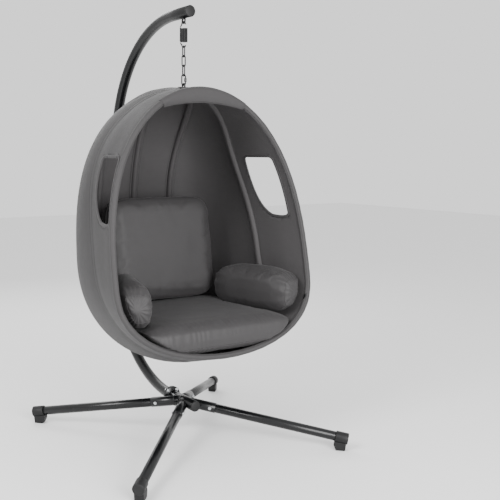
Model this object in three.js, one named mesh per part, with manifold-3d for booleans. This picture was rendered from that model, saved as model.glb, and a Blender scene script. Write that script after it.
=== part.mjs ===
// Hanging egg chair: a C-shaped pole on a cross base, a spring and chain, and a fabric egg on a steel frame.
// Millimetres, +Z up, the open front of the egg facing -Y. The origin is on the floor, under the centre
// of the whole chair's bounding box; the chair's own plan is drawn from the hanging axis and then shifted.
import * as THREE from 'three';
import { mergeVertices } from 'three/addons/utils/BufferGeometryUtils.js';
import Module from 'manifold-3d';

const wasm = await Module();
wasm.setup();

// ---- driving dimensions -------------------------------------------------------------------------------
const GAP = 0.3;                                     // clearance between pieces that touch

const POLE = { radius: 25, wall: 2, bottomZ: 168, topZ: 1922, backY: 665, lowArc: 555, highArc: 580, tipY: -52 };
const POLE_JOINT = { z: 960, neckRadius: 21.6, neckLength: 90, boltZ: 915 };
const HUB = { radius: 25, wall: 3, frontY: -104, rearY: 96, sleeveRadius: 23, sleeveBore: 19.3, sleeveEnd: 150 };
const FLANGE = { radius: 41, thick: 8, pitchRadius: 33, holeRadius: 5 };
const LEG = { radius: 21, wall: 1.8, neckRadius: 18.8, neckStart: 62, end: 752, footAxisZ: 49, footRadial: 760,
  spread: 10, boltRadial: 126 };
const FOOT = { radius: 25.5, length: 56, blockLength: 42, blockWidth: 40, ridges: 5, ridgeDepth: 3 };
const BOLT = { radius: 3, headRadius: 6, headHeight: 4.4, nutHeight: 5 };
const FLANGE_BOLT = { radius: 4, headRadius: 7.5, headHeight: 5.5, nutHeight: 6.5 };

const EYE = { ringRadius: 11, wire: 4, z: 1888 };    // welded under the pole's tip, its hole across the pole
const SPRING = { wire: 2.75, topZ: 1859, bottomZ: 1793, coilRadius: 15.6, turns: 10, hookRadius: 9.5 };
const CHAIN = { top: 1776.5, pitch: 41.3, wire: 2.9, halfWidth: 8.2, links: 3 };
const QUICK = { inner: 40.6, wire: 3.1, halfWidth: 9.6, nutRadius: 6.2, nutLength: 17 };
const EGG_EYE = { ringRadius: 10.5, wire: 3.8, stem: 6, plateRadius: 38, plateThick: 5 };

// The egg's skin. A level angle runs from -90 degrees at the keel to 90 degrees at the crown; on each level
// a section runs from the front ring (0) round to the middle of the back (1).
const RING = { halfWidth: 487, wideZ: 784, topZ: 1578, bottomZ: 461, topPower: 2.5, bottomPower: 2.6,
  midZ: 950, midY: -252, lean: 0.183, bow: -0.00005 };
const BACK = { wideZ: 847, topZ: 1608, bottomZ: 326, backY: 498, topY: 141, bottomY: 205,
  topPower: 2.6, bottomPower: 2.25 };
const SECTION = { depthPower: 3.4, widthPower: 3.2, waist: 0.36, rise: 1.7 };
const SKIN = 3;                                      // thickness of the sewn cover
const SLEEVE = { radius: 13, tube: 9.5, wall: 2.6 }; // padded rim sleeve and the steel ring in it
const RIB = { radius: 4, inset: 15, backNear: 0.34, backFar: 0.88,
  sideCourse: [[-90, 0.4], [-40, 0.31], [0, 0.39], [32, 0.52], [62, 0.48], [90, 0.52]] };
const WINDOW = { topZ: 1296, bottomZ: 1014, frontGap: 56, rearY: 54, corner: 22 };
const BAND = { depth: 46, thick: 3 };

const SEAT = { topZ: 610, bottomZ: 470, frontY: -378, rearY: 300, halfWidth: 386, squareness: 9, crown: 4.6 };
const BACKREST = { width: 560, height: 508, thick: 144, lean: 9, footY: 116, footZ: 618, squareness: 10, crown: 6 };
const ARM = { thick: 144, height: 222, length: 446, turn: 17, x: 340, y: -100, z: 686, squareness: 7, crown: 2.8 };
const CUSHION_GAP = 1.2;
const CUSHION_INSET = 22;

// ---- colours ------------------------------------------------------------------------------------------
const FINISH = {
  powder: { color: 0x17181a, roughness: 0.35, metalness: 0.2 },
  zinc: { color: 0xb9bbbd, roughness: 0.3, metalness: 0.9 },
  blackSteel: { color: 0x101011, roughness: 0.4, metalness: 0.6 },
  plastic: { color: 0x151516, roughness: 0.55, metalness: 0 },
  cover: { color: 0x6b696a, roughness: 0.85, metalness: 0 },
  cushion: { color: 0x747274, roughness: 0.75, metalness: 0 },
};

// ---- small geometry tools -----------------------------------------------------------------------------
const deg = THREE.MathUtils.degToRad;
const v3 = (x, y, z) => new THREE.Vector3(x, y, z);

/** A closed three.js geometry as a manifold solid. */
function solid(geometry) {
  const bare = new THREE.BufferGeometry();
  bare.setAttribute('position', geometry.attributes.position.clone());
  if (geometry.index) bare.setIndex(geometry.index.clone());
  const merged = mergeVertices(bare, 1e-4);
  return new wasm.Manifold(new wasm.Mesh({
    numProp: 3,
    vertProperties: Float32Array.from(merged.attributes.position.array),
    triVerts: Uint32Array.from(merged.index.array),
  }));
}

/** A manifold solid as a three.js geometry. */
function geometryOf(manifold) {
  const mesh = manifold.getMesh();
  const geometry = new THREE.BufferGeometry();
  geometry.setAttribute('position', new THREE.BufferAttribute(Float32Array.from(mesh.vertProperties), 3));
  geometry.setIndex(new THREE.BufferAttribute(Uint32Array.from(mesh.triVerts), 1));
  return geometry;
}

const join = (...geometries) => geometryOf(geometries.map(solid).reduce((a, b) => a.add(b)));
const cut = (geometry, ...tools) => geometryOf(tools.map(solid).reduce((a, b) => a.subtract(b), solid(geometry)));
const meet = (geometry, other) => geometryOf(solid(geometry).intersect(solid(other)));

/** A cylinder from one point to another. */
function rod(from, to, radius, sides = 16) {
  const along = to.clone().sub(from);
  const geometry = new THREE.CylinderGeometry(radius, radius, along.length(), sides);
  geometry.applyQuaternion(new THREE.Quaternion().setFromUnitVectors(v3(0, 1, 0), along.clone().normalize()));
  return geometry.translate(...from.clone().add(to).multiplyScalar(0.5).toArray());
}

/** A hexagonal prism along local +Z, with an optional round hole. */
function hexPrism(radius, height, hole = 0) {
  const shape = new THREE.Shape();
  for (let i = 0; i < 6; i += 1) {
    const a = (i * Math.PI) / 3;
    shape[i ? 'lineTo' : 'moveTo'](radius * Math.cos(a), radius * Math.sin(a));
  }
  shape.closePath();
  if (hole) shape.holes.push(new THREE.Path().absarc(0, 0, hole, 0, 2 * Math.PI, true));
  return new THREE.ExtrudeGeometry(shape, { depth: height, bevelEnabled: false, curveSegments: 5 });
}

/** A round section, with an optional bore. */
function roundSection(radius, bore = 0) {
  const shape = new THREE.Shape().absarc(0, 0, radius, 0, 2 * Math.PI, false);
  if (bore) shape.holes.push(new THREE.Path().absarc(0, 0, bore, 0, 2 * Math.PI, true));
  return shape;
}

/** A round bar or tube along an open curve. */
function tubeAlong(curve, radius, steps, { bore = 0, segments = 5 } = {}) {
  return new THREE.ExtrudeGeometry(roundSection(radius, bore),
    { steps, extrudePath: curve, bevelEnabled: false, curveSegments: segments });
}

/** A closed loop: place(u) gives centre and two section directions, section lists the profile's points. */
function loopSweep(place, section, steps) {
  const geometry = new THREE.TorusGeometry(2, 1, section.length, steps);
  const position = geometry.attributes.position;
  const stride = steps + 1;
  for (let j = 0; j <= section.length; j += 1) {
    for (let i = 0; i <= steps; i += 1) {
      const { centre, out, side } = place(((i % steps) / steps) * 2 * Math.PI);
      const [a, b] = section[j % section.length];
      const p = centre.clone().addScaledVector(out, a).addScaledVector(side, b);
      position.setXYZ(j * stride + i, p.x, p.y, p.z);
    }
  }
  return geometry;
}

/** The section of the room a round loop takes up, clear of its facets by the gap. */
const roomSection = (radius, count) => circleSection((radius + GAP) / Math.cos(Math.PI / count), count);

/** The points of a circle as a loop's section. */
const circleSection = (radius, count) => Array.from({ length: count }, (_, i) => {
  const a = (2 * Math.PI * (i + 0.5)) / count;
  return [radius * Math.cos(a), radius * Math.sin(a)];
});

/** A straight-sided oval ring of wire, upright, in the XZ or YZ plane; centred on the origin. */
function ovalRing(innerLength, halfWidth, wire, inYZ, steps = 16) {
  const bend = halfWidth;
  const straight = innerLength / 2 + wire - bend;
  const place = (u) => {
    const a = u + Math.PI / steps;
    const out = inYZ ? v3(0, Math.cos(a), Math.sin(a)) : v3(Math.cos(a), 0, Math.sin(a));
    const centre = out.clone().multiplyScalar(bend);
    centre.z += Math.sign(Math.sin(a)) * straight;
    return { centre, out, side: inYZ ? v3(1, 0, 0) : v3(0, -1, 0) };
  };
  return loopSweep(place, circleSection(wire, 6), steps);
}

/** Turns a loop or sheet the right way out when its volume comes out negative. */
function facingOut(geometry) {
  const p = geometry.attributes.position;
  const index = geometry.index;
  const [a, b, c] = [v3(), v3(), v3()];
  let volume = 0;
  for (let i = 0; i < index.count; i += 3) {
    a.fromBufferAttribute(p, index.getX(i));
    b.fromBufferAttribute(p, index.getX(i + 1));
    c.fromBufferAttribute(p, index.getX(i + 2));
    volume += a.dot(b.cross(c));
  }
  if (volume < 0) {
    for (let i = 0; i < index.count; i += 3) {
      const keep = index.getX(i);
      index.setX(i, index.getX(i + 1));
      index.setX(i + 1, keep);
    }
  }
  return geometry;
}

// ---- the stand ----------------------------------------------------------------------------------------
const chair = new THREE.Group();

/** Adds a named mesh to a parent group. */
function add(name, geometry, finish, parent = chair) {
  const mesh = new THREE.Mesh(geometry, new THREE.MeshStandardMaterial(FINISH[finish]));
  mesh.name = name;
  parent.add(mesh);
  return mesh;
}

const LEG_SLOPE = Math.atan((POLE.bottomZ - LEG.footAxisZ) / LEG.footRadial);
const CORNERS = [
  { name: 'front_left', turn: -135, along: -1 },
  { name: 'front_right', turn: -45, along: -1 },
  { name: 'rear_right', turn: 45, along: 1 },
  { name: 'rear_left', turn: 135, along: 1 },
];

/** Local +X of the returned matrix runs out along a leg's axis, local +Z is up across it. */
function legMatrix({ turn, along }) {
  return new THREE.Matrix4().makeTranslation(0, along * LEG.spread, POLE.bottomZ)
    .multiply(new THREE.Matrix4().makeRotationZ(deg(turn)))
    .multiply(new THREE.Matrix4().makeRotationY(LEG_SLOPE));
}

/** The welded hub: a short fore-aft tube with four leg sleeves and a bolting flange. */
function hub() {
  const ends = [v3(0, HUB.frontY, POLE.bottomZ), v3(0, HUB.rearY + FLANGE.thick, POLE.bottomZ)];
  let body = solid(rod(...ends, HUB.radius, 18));
  body = body.add(solid(rod(v3(0, HUB.rearY, POLE.bottomZ), ends[1], FLANGE.radius, 24)));
  const bores = [rod(v3(0, HUB.frontY - 5, POLE.bottomZ), v3(0, HUB.rearY + 20, POLE.bottomZ), HUB.radius - HUB.wall, 14)];
  CORNERS.forEach((corner) => {
    const matrix = legMatrix(corner);
    const sleeve = rod(v3(15, 0, 0), v3(HUB.sleeveEnd, 0, 0), HUB.sleeveRadius, 12).applyMatrix4(matrix);
    body = body.add(solid(sleeve));
    bores.push(rod(v3(30, 0, 0), v3(HUB.sleeveEnd + 5, 0, 0), HUB.sleeveBore / Math.cos(Math.PI / 10), 10).applyMatrix4(matrix));
    bores.push(rod(v3(LEG.boltRadial, -40, 0), v3(LEG.boltRadial, 40, 0), BOLT.radius + 2 * GAP, 6).applyMatrix4(matrix));
  });
  flangeHoles().forEach(([x, z]) => {
    bores.push(rod(v3(x, HUB.rearY - 5, z), v3(x, HUB.rearY + 20, z), FLANGE.holeRadius, 6));
  });
  bores.forEach((bore) => { body = body.subtract(solid(bore)); });
  return geometryOf(body);
}

/** Centres of the four flange holes, as [x, z]. */
function flangeHoles() {
  const d = FLANGE.pitchRadius / Math.SQRT2;
  return [[-d, d], [d, d], [d, -d], [-d, -d]].map(([x, z]) => [x, POLE.bottomZ + z]);
}

/** A push-in plastic plug: a low dome over a short spigot, turned about local +Y. */
function plug(radius, bore, spigot, dome) {
  const profile = [[0, -spigot], [bore, -spigot], [bore, 0], [radius, 0], [radius, dome * 0.5],
    [radius - 2.5, dome], [0, dome]];
  return new THREE.LatheGeometry(profile.map(([x, y]) => new THREE.Vector2(x, y)), 14);
}

/** One leg tube, with the reduced neck that slides into the hub's sleeve; local +X runs outwards. */
function leg() {
  const neckBore = LEG.neckRadius - LEG.wall;
  const bore = LEG.radius - LEG.wall;
  const shoulder = HUB.sleeveEnd + GAP;
  const profile = [[neckBore, LEG.neckStart], [LEG.neckRadius, LEG.neckStart], [LEG.neckRadius, shoulder],
    [LEG.radius, shoulder + 2], [LEG.radius, LEG.end], [bore, LEG.end], [bore, shoulder + 4],
    [neckBore, shoulder], [neckBore, LEG.neckStart]];
  const tube = new THREE.LatheGeometry(profile.map(([x, y]) => new THREE.Vector2(x, y)), 14).rotateZ(-Math.PI / 2);
  return cut(tube, rod(v3(LEG.boltRadial, -40, 0), v3(LEG.boltRadial, 40, 0), BOLT.radius + 2 * GAP, 6));
}

/** One moulded foot: a cap over the leg's end with a flat block under it and ridges on the sole. */
function foot() {
  const inner = LEG.end - FOOT.length + 6;
  const outer = LEG.end + 6;
  const cap = solid(rod(v3(inner, 0, 0), v3(outer, 0, 0), FOOT.radius, 14));
  const bore = solid(rod(v3(inner - 1, 0, 0), v3(LEG.end + GAP, 0, 0), LEG.radius + GAP, 14));
  return cap.subtract(bore);
}

/** The foot's block in the leg's upright plane: level sole on the floor, ridges along the leg. */
function footBlock(corner) {
  const upright = new THREE.Matrix4().makeTranslation(0, corner.along * LEG.spread, 0)
    .multiply(new THREE.Matrix4().makeRotationZ(deg(corner.turn)));
  const tip = (LEG.end + 6) * Math.cos(LEG_SLOPE) - 12;
  const heel = tip - FOOT.blockLength;
  const side = new THREE.Shape();
  side.moveTo(heel, FOOT.ridgeDepth);
  side.lineTo(tip, FOOT.ridgeDepth);
  side.lineTo(tip + 4, 34);
  side.lineTo(heel - 6, 40);
  side.lineTo(heel - 10, 26);
  side.closePath();
  const half = FOOT.blockWidth / 2;
  const block = new THREE.ExtrudeGeometry(side, { depth: FOOT.blockWidth, bevelEnabled: false });
  block.rotateX(Math.PI / 2).translate(0, half, 0);
  let body = solid(block);
  const pitch = FOOT.blockWidth / FOOT.ridges;
  for (let i = 0; i < FOOT.ridges; i += 1) {
    const ridge = new THREE.BoxGeometry(FOOT.blockLength - 2, pitch * 0.55, FOOT.ridgeDepth + 1);
    ridge.translate((tip + heel) / 2, -half + pitch * (i + 0.5), (FOOT.ridgeDepth + 1) / 2);
    body = body.add(solid(ridge));
  }
  return solid(geometryOf(body).applyMatrix4(upright));
}

/** The whole foot cap of one corner, in the chair's frame. */
function footCap(corner) {
  const matrix = legMatrix(corner);
  const cap = solid(geometryOf(foot()).applyMatrix4(matrix));
  const bore = solid(rod(v3(LEG.end - 80, 0, 0), v3(LEG.end + GAP, 0, 0), LEG.radius + GAP, 14).applyMatrix4(matrix));
  return geometryOf(cap.add(footBlock(corner)).subtract(bore));
}

/** A hex bolt along local +Z: head below the origin, shank above it. */
function hexBolt({ radius, headRadius, headHeight }, length) {
  const head = hexPrism(headRadius, headHeight).translate(0, 0, -headHeight);
  const shank = rod(v3(0, 0, -1), v3(0, 0, length), radius, 6);
  return join(head, shank);
}

/** Puts a bolt and its nut on an axis; the bolt's head seats at `from` and the nut at `to`. */
function boltSet(name, size, from, to) {
  const along = to.clone().sub(from);
  const turn = new THREE.Quaternion().setFromUnitVectors(v3(0, 0, 1), along.clone().normalize());
  const bolt = add(`${name}_bolt`, hexBolt(size, along.length() + size.nutHeight + 3), 'zinc');
  bolt.position.copy(from);
  bolt.quaternion.copy(turn);
  const nut = add(`${name}_nut`, hexPrism(size.headRadius, size.nutHeight, size.radius + GAP), 'zinc');
  nut.position.copy(to);
  nut.quaternion.copy(turn);
}

/** The pole's centre line in the plane x = 0, between two heights on its way up. */
function polePath(part) {
  const path = new THREE.CurvePath();
  const line = (a, b) => path.add(new THREE.LineCurve3(v3(0, ...a), v3(0, ...b)));
  const arc = (cy, cz, radius, from, to, steps) => {
    const at = (k) => { const a = deg(from + ((to - from) * k) / steps); return v3(0, cy + radius * Math.cos(a), cz + radius * Math.sin(a)); };
    path.add(new THREE.CatmullRomCurve3(Array.from({ length: steps + 1 }, (_, k) => at(k)), false, 'centripetal'));
  };
  const lowY = POLE.backY - POLE.lowArc;
  const highY = POLE.backY - POLE.highArc;
  if (part === 'lower') {
    line([HUB.rearY + 2 * FLANGE.thick + GAP - 4, POLE.bottomZ], [lowY + 8, POLE.bottomZ]);
    arc(lowY, POLE.bottomZ + POLE.lowArc, POLE.lowArc, -89.2, 0, 10);
    line([POLE.backY, POLE.bottomZ + POLE.lowArc], [POLE.backY, POLE_JOINT.z]);
  } else {
    line([POLE.backY, POLE_JOINT.z + GAP], [POLE.backY, POLE.topZ - POLE.highArc]);
    arc(highY, POLE.topZ - POLE.highArc, POLE.highArc, 0, 90, 10);
    line([highY, POLE.topZ], [POLE.tipY, POLE.topZ]);
  }
  return path;
}

/** The lower pole: a bent tube with a flange welded on its foot. */
function poleLower() {
  const bore = POLE.radius - POLE.wall;
  const tube = tubeAlong(polePath('lower'), POLE.radius, 14, { bore, segments: 6 });
  const y = HUB.rearY + FLANGE.thick + GAP;
  const holes = flangeHoles().map(([x, z]) => rod(v3(x, y - 5, z), v3(x, y + 20, z), FLANGE.holeRadius, 6));
  const flange = cut(rod(v3(0, y, POLE.bottomZ), v3(0, y + FLANGE.thick, POLE.bottomZ), FLANGE.radius, 24),
    rod(v3(0, y - 5, POLE.bottomZ), v3(0, y + 20, POLE.bottomZ), POLE.radius - 1, 12), ...holes);
  const bolt = rod(v3(-60, POLE.backY, POLE_JOINT.boltZ), v3(60, POLE.backY, POLE_JOINT.boltZ), BOLT.radius + 2 * GAP, 6);
  return cut(join(tube, flange), bolt);
}

/** The upper pole: a bent tube with a reduced neck at its foot and the hanging eye under its tip. */
function poleUpper() {
  const tube = tubeAlong(polePath('upper'), POLE.radius, 14, { bore: POLE.radius - POLE.wall, segments: 6 });
  const neckTop = POLE_JOINT.z + 12;
  const neckFoot = POLE_JOINT.z - POLE_JOINT.neckLength;
  const neck = cut(rod(v3(0, POLE.backY, neckFoot), v3(0, POLE.backY, neckTop), POLE_JOINT.neckRadius, 14),
    rod(v3(0, POLE.backY, neckFoot - 5), v3(0, POLE.backY, neckTop + 5), POLE_JOINT.neckRadius - 2, 12));
  const collar = cut(rod(v3(0, POLE.backY, POLE_JOINT.z + GAP), v3(0, POLE.backY, neckTop), POLE.radius - 1, 12),
    rod(v3(0, POLE.backY, neckFoot), v3(0, POLE.backY, neckTop + 5), POLE_JOINT.neckRadius - 2, 12));
  const eye = new THREE.TorusGeometry(EYE.ringRadius, EYE.wire, 6, 16).rotateY(Math.PI / 2).translate(0, 0, EYE.z);
  const bore = rod(v3(0, POLE.tipY - 5, POLE.topZ), v3(0, 60, POLE.topZ), POLE.radius - POLE.wall, 20);
  const trimmed = cut(eye, bore);
  const bolt = rod(v3(-60, POLE.backY, POLE_JOINT.boltZ), v3(60, POLE.backY, POLE_JOINT.boltZ), BOLT.radius + 2 * GAP, 6);
  return cut(join(tube, neck, collar, trimmed), bolt);
}

function buildStand() {
  add('hub', hub(), 'powder');
  const hubPlug = add('hub_end_plug', plug(HUB.radius, HUB.radius - HUB.wall - GAP, 14, 5), 'plastic');
  hubPlug.position.set(0, HUB.frontY - GAP, POLE.bottomZ);
  hubPlug.rotation.x = Math.PI;
  CORNERS.forEach((corner) => {
    const matrix = legMatrix(corner);
    const tube = add(`leg_${corner.name}`, leg(), 'powder');
    tube.applyMatrix4(matrix);
    add(`foot_${corner.name}`, footCap(corner), 'plastic');
    const reach = HUB.sleeveRadius + GAP;
    const front = corner.along > 0 ? Math.sign(corner.turn - 90) : Math.sign(corner.turn + 90);
    const [from, to] = [v3(LEG.boltRadial, reach * front, 0), v3(LEG.boltRadial, -reach * front, 0)];
    boltSet(`leg_${corner.name}`, BOLT, from.applyMatrix4(matrix), to.applyMatrix4(matrix));
  });
  add('pole_lower', poleLower(), 'powder');
  add('pole_upper', poleUpper(), 'powder');
  const tip = add('pole_end_plug', plug(POLE.radius + 0.6, POLE.radius - POLE.wall - 3 * GAP, 16, 6), 'plastic');
  tip.position.set(0, POLE.tipY - GAP, POLE.topZ);
  tip.rotation.x = Math.PI;
  const reach = POLE.radius + GAP;
  boltSet('pole_joint', BOLT, v3(-reach, POLE.backY, POLE_JOINT.boltZ), v3(reach, POLE.backY, POLE_JOINT.boltZ));
  flangeHoles().forEach(([x, z], i) => {
    const front = v3(x, HUB.rearY - GAP, z);
    const rear = v3(x, HUB.rearY + 2 * FLANGE.thick + 2 * GAP, z);
    boltSet(`flange_${i + 1}`, FLANGE_BOLT, front, rear);
  });
}

// ---- spring and chain ---------------------------------------------------------------------------------
/** Half turns of a hook, from the coil's rim in to the axis and round the open loop; up is +1 or -1. */
function springHook(coilZ, loopZ, up) {
  const r = SPRING.hookRadius;
  const points = [v3(-SPRING.coilRadius, 0, coilZ + up * 3.2), v3(-SPRING.coilRadius * 0.8, 0, coilZ + up * 6.5)];
  const middle = loopZ - up * r;
  for (let a = 190; a >= -10; a -= 25) {
    points.push(v3(r * Math.cos(deg(a)), 0, middle + up * r * Math.sin(deg(a))));
  }
  return tubeAlong(new THREE.CatmullRomCurve3(points), SPRING.wire, 14, { segments: 3 });
}

/** The close-wound coil. */
function springCoil() {
  const height = SPRING.topZ - SPRING.bottomZ - 2 * SPRING.wire;
  const helix = new (class extends THREE.Curve {
    getPoint(t, target = v3()) {
      const a = t * SPRING.turns * 2 * Math.PI + Math.PI;
      return target.set(SPRING.coilRadius * Math.cos(a), SPRING.coilRadius * Math.sin(a),
        SPRING.bottomZ + SPRING.wire + height * t);
    }
  })();
  return tubeAlong(helix, SPRING.wire - 0.05, SPRING.turns * 8, { segments: 3 });
}

/** The screw-gated link that joins the chain to the egg's eye, in the XZ plane. */
function quickLink(centreZ) {
  const loop = ovalRing(QUICK.inner, QUICK.halfWidth, QUICK.wire, false);
  add('quick_link', facingOut(loop), 'blackSteel').position.set(0, 0, centreZ);
  const nut = add('quick_link_nut', hexPrism(QUICK.nutRadius, QUICK.nutLength, QUICK.wire + GAP), 'blackSteel');
  nut.position.set(QUICK.halfWidth, 0, centreZ - QUICK.nutLength / 2);
}

const QUICK_TOP = CHAIN.top - CHAIN.links * CHAIN.pitch;
const EGG_HOOK_Z = QUICK_TOP - QUICK.inner;          // underside of the egg eye's top arc

function buildSuspension() {
  const eyeSeat = EYE.z - EYE.ringRadius + EYE.wire;
  add('spring_hook_upper', springHook(SPRING.topZ, eyeSeat + GAP + SPRING.wire, 1), 'blackSteel');
  add('spring_coil', springCoil(), 'blackSteel');
  add('spring_hook_lower', springHook(SPRING.bottomZ, CHAIN.top - SPRING.wire - GAP, -1), 'blackSteel');
  for (let i = 0; i < CHAIN.links; i += 1) {
    const middle = CHAIN.top - CHAIN.pitch * (i + 0.5);
    const ring = ovalRing(CHAIN.pitch + GAP, CHAIN.halfWidth, CHAIN.wire, i % 2 === 0);
    add(`chain_link_${i + 1}`, facingOut(ring), 'blackSteel').position.set(0, 0, middle);
  }
  quickLink(QUICK_TOP - QUICK.inner / 2 + GAP / 2);
}

// ---- the egg's skin as a formula ----------------------------------------------------------------------
/** The front ring's centre line at a level angle, on the right-hand side; inset shrinks it. */
function ringPoint(level, inset = 0) {
  const s = Math.abs(Math.sin(level));
  const z = level >= 0
    ? RING.wideZ + (RING.topZ - inset - RING.wideZ) * s ** (2 / RING.topPower)
    : RING.wideZ - (RING.wideZ - RING.bottomZ - inset) * s ** (2 / RING.bottomPower);
  const dz = z - RING.midZ;
  return v3((RING.halfWidth - inset) * Math.cos(level), RING.midY + RING.lean * dz + RING.bow * dz * dz, z);
}

/** The middle of the back at a level angle. */
function backPoint(level, inset = 0) {
  const s = Math.abs(Math.sin(level));
  const z = level >= 0
    ? BACK.wideZ + (BACK.topZ - inset - BACK.wideZ) * s ** (2 / BACK.topPower)
    : BACK.wideZ - (BACK.wideZ - BACK.bottomZ - inset) * s ** (2 / BACK.bottomPower);
  const endY = level >= 0 ? BACK.topY : BACK.bottomY;
  return v3(0, endY + (BACK.backY - inset - endY) * Math.cos(level), z);
}

/** Width of a section as a share of the ring's width, at t from the ring (0) to the back (1). */
function sectionWidth(t) {
  const u = Math.min(Math.max(t, 0), 1);
  return (1 - u ** SECTION.depthPower) ** (1 / SECTION.widthPower) * (1 - SECTION.waist * u * (1 - u));
}

/** A point of the skin; t below 0 runs straight out in front of the ring. */
function skinPoint(level, t, side = 1, inset = 0) {
  const ring = ringPoint(level, inset);
  const back = backPoint(level, inset);
  const rise = t > 0 ? 1 - (1 - t) ** SECTION.rise : 0;
  return v3(side * ring.x * sectionWidth(t), ring.y + (back.y - ring.y) * t, ring.z + (back.z - ring.z) * rise);
}

/** The place t on a section whose width share is the one given. */
function placeOfWidth(share) {
  let [low, high] = [0, 1];
  for (let i = 0; i < 40; i += 1) {
    const mid = (low + high) / 2;
    if (sectionWidth(mid) > share) low = mid; else high = mid;
  }
  return low;
}

/** The skin's half-width at a given y and z, and the level angle there. */
function sideOfSkin(y, z, inset = 0) {
  let [low, high] = [-Math.PI / 2, Math.PI / 2];
  let point;
  for (let i = 0; i < 40; i += 1) {
    const level = (low + high) / 2;
    const ring = ringPoint(level, inset);
    const t = (y - ring.y) / (backPoint(level, inset).y - ring.y);
    point = skinPoint(level, t, 1, inset);
    if (point.z > z) high = level; else low = level;
  }
  return point.x;
}

/** Places t from the ring (0) to the back (1), evenly spaced along the widest section. */
function evenPlaces(count) {
  const fine = 2000;
  const at = (i) => new THREE.Vector2(RING.halfWidth * sectionWidth(i / fine), ((BACK.backY - RING.midY) * i) / fine);
  const length = [0];
  for (let i = 1; i <= fine; i += 1) length.push(length[i - 1] + at(i).distanceTo(at(i - 1)));
  const places = [];
  for (let k = 0, i = 0; k <= count; k += 1) {
    while (i < fine && length[i] < (length[fine] * k) / count) i += 1;
    places.push(i / fine);
  }
  return places;
}

/** Grid of skin points, rows by level and columns from the right ring round the back to the left. */
function skinGrid(rows, columns, inset, front) {
  const grid = [];
  const places = evenPlaces(columns / 2);
  for (let i = 0; i <= rows; i += 1) {
    const level = -Math.PI / 2 + (Math.PI * i) / rows;
    const row = [];
    for (let j = 0; j <= columns; j += 1) {
      const half = columns / 2;
      const end = i === 0 || i === rows;
      const t = places[half - Math.abs(j - half)] || front;
      const point = skinPoint(level, t, j < half ? 1 : -1, inset);
      if (end || j === half) point.x = 0;
      row.push(point);
    }
    grid.push(row);
  }
  return grid;
}

/** Two facing grids closed along the front edge into a sheet, or one grid closed by a front wall. */
function closeGrids(outer, inner) {
  const rows = outer.length;
  const columns = outer[0].length;
  const points = [...outer.flat(), ...inner.flat()];
  const at = (layer, i, j) => layer * rows * columns + i * columns + j;
  const index = [];
  const quad = (a, b, c, d) => index.push(a, b, c, a, c, d);
  for (let i = 0; i < rows - 1; i += 1) {
    for (let j = 0; j < columns - 1; j += 1) {
      quad(at(0, i, j), at(0, i, j + 1), at(0, i + 1, j + 1), at(0, i + 1, j));
      quad(at(1, i, j), at(1, i + 1, j), at(1, i + 1, j + 1), at(1, i, j + 1));
    }
    quad(at(0, i, 0), at(0, i + 1, 0), at(1, i + 1, 0), at(1, i, 0));
    const last = columns - 1;
    quad(at(0, i, last), at(1, i, last), at(1, i + 1, last), at(0, i + 1, last));
  }
  const geometry = new THREE.BufferGeometry();
  geometry.setAttribute('position', new THREE.Float32BufferAttribute(points.flatMap((p) => p.toArray()), 3));
  geometry.setIndex(index);
  return facingOut(dropSlivers(mergeVertices(geometry, 1e-3)));
}

/** Removes triangles that have collapsed to a line, as they do along the crown and keel. */
function dropSlivers(geometry) {
  const kept = [];
  const { index } = geometry;
  for (let i = 0; i < index.count; i += 3) {
    const [a, b, c] = [index.getX(i), index.getX(i + 1), index.getX(i + 2)];
    if (a !== b && b !== c && c !== a) kept.push(a, b, c);
  }
  geometry.setIndex(kept);
  return geometry;
}

/** The room inside the skin as a solid, standing well out of the front opening. */
function eggRoom(inset) {
  const grid = skinGrid(18, 20, inset, -0.35);
  const flat = grid.map((row) => {
    const [first, last] = [row[0], row[row.length - 1]];
    return row.map((_, j) => first.clone().lerp(last, j / (row.length - 1)));
  });
  return closeGrids(grid, flat);
}

/** Placement for a loop that follows the front ring. */
function ringPlace(u) {
  const at = (a) => {
    const level = Math.asin(Math.sin(a));
    const point = ringPoint(level);
    if (Math.cos(a) < 0) point.x = -point.x;
    return point;
  };
  const h = 1e-3;
  const tangent = at(u + h).sub(at(u - h)).normalize();
  const out = tangent.clone().cross(v3(0, 1, 0)).normalize().multiplyScalar(-1);
  if (out.dot(at(u).sub(v3(0, RING.midY, RING.wideZ))) < 0) out.negate();
  return { centre: at(u), out, side: tangent.clone().cross(out).normalize() };
}

/** Loop angles crowd where the ring bends most; this spaces them evenly along it. */
function evenRing(steps) {
  const fine = 720;
  const length = [0];
  let last = ringPlace(0).centre;
  for (let i = 1; i <= fine; i += 1) {
    const next = ringPlace((i / fine) * 2 * Math.PI).centre;
    length.push(length[i - 1] + next.distanceTo(last));
    last = next;
  }
  const places = [];
  let k = 0;
  for (let i = 0; i < steps; i += 1) {
    const want = (length[fine] * i) / steps;
    while (length[k + 1] < want) k += 1;
    const part = (want - length[k]) / (length[k + 1] - length[k]);
    places.push(ringPlace(((k + part) / fine) * 2 * Math.PI));
  }
  return (u) => places[Math.round((u / (2 * Math.PI)) * steps) % steps];
}

const RING_STEPS = 38;
const ringAt = evenRing(RING_STEPS);

/** A loop round the front ring with the section given. */
const ringLoop = (section) => facingOut(loopSweep(ringAt, section, RING_STEPS));

/** The rim sleeve's open section: a fabric roll with its slit facing back, where the cover is sewn on. */
function sleeveSection() {
  const [outerSteps, innerSteps, slit] = [7, 5, 160];
  const inner = (SLEEVE.tube + GAP) / Math.cos(deg(slit / innerSteps));
  const points = [];
  const arc = (radius, from, to, count) => {
    for (let i = 0; i <= count; i += 1) {
      const a = deg(from + ((to - from) * i) / count);
      points.push([radius * Math.sin(a), -radius * Math.cos(a)]);
    }
  };
  arc(SLEEVE.radius, -slit, slit, outerSteps);
  arc(inner, slit, -slit, innerSteps);
  return points;
}

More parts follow.
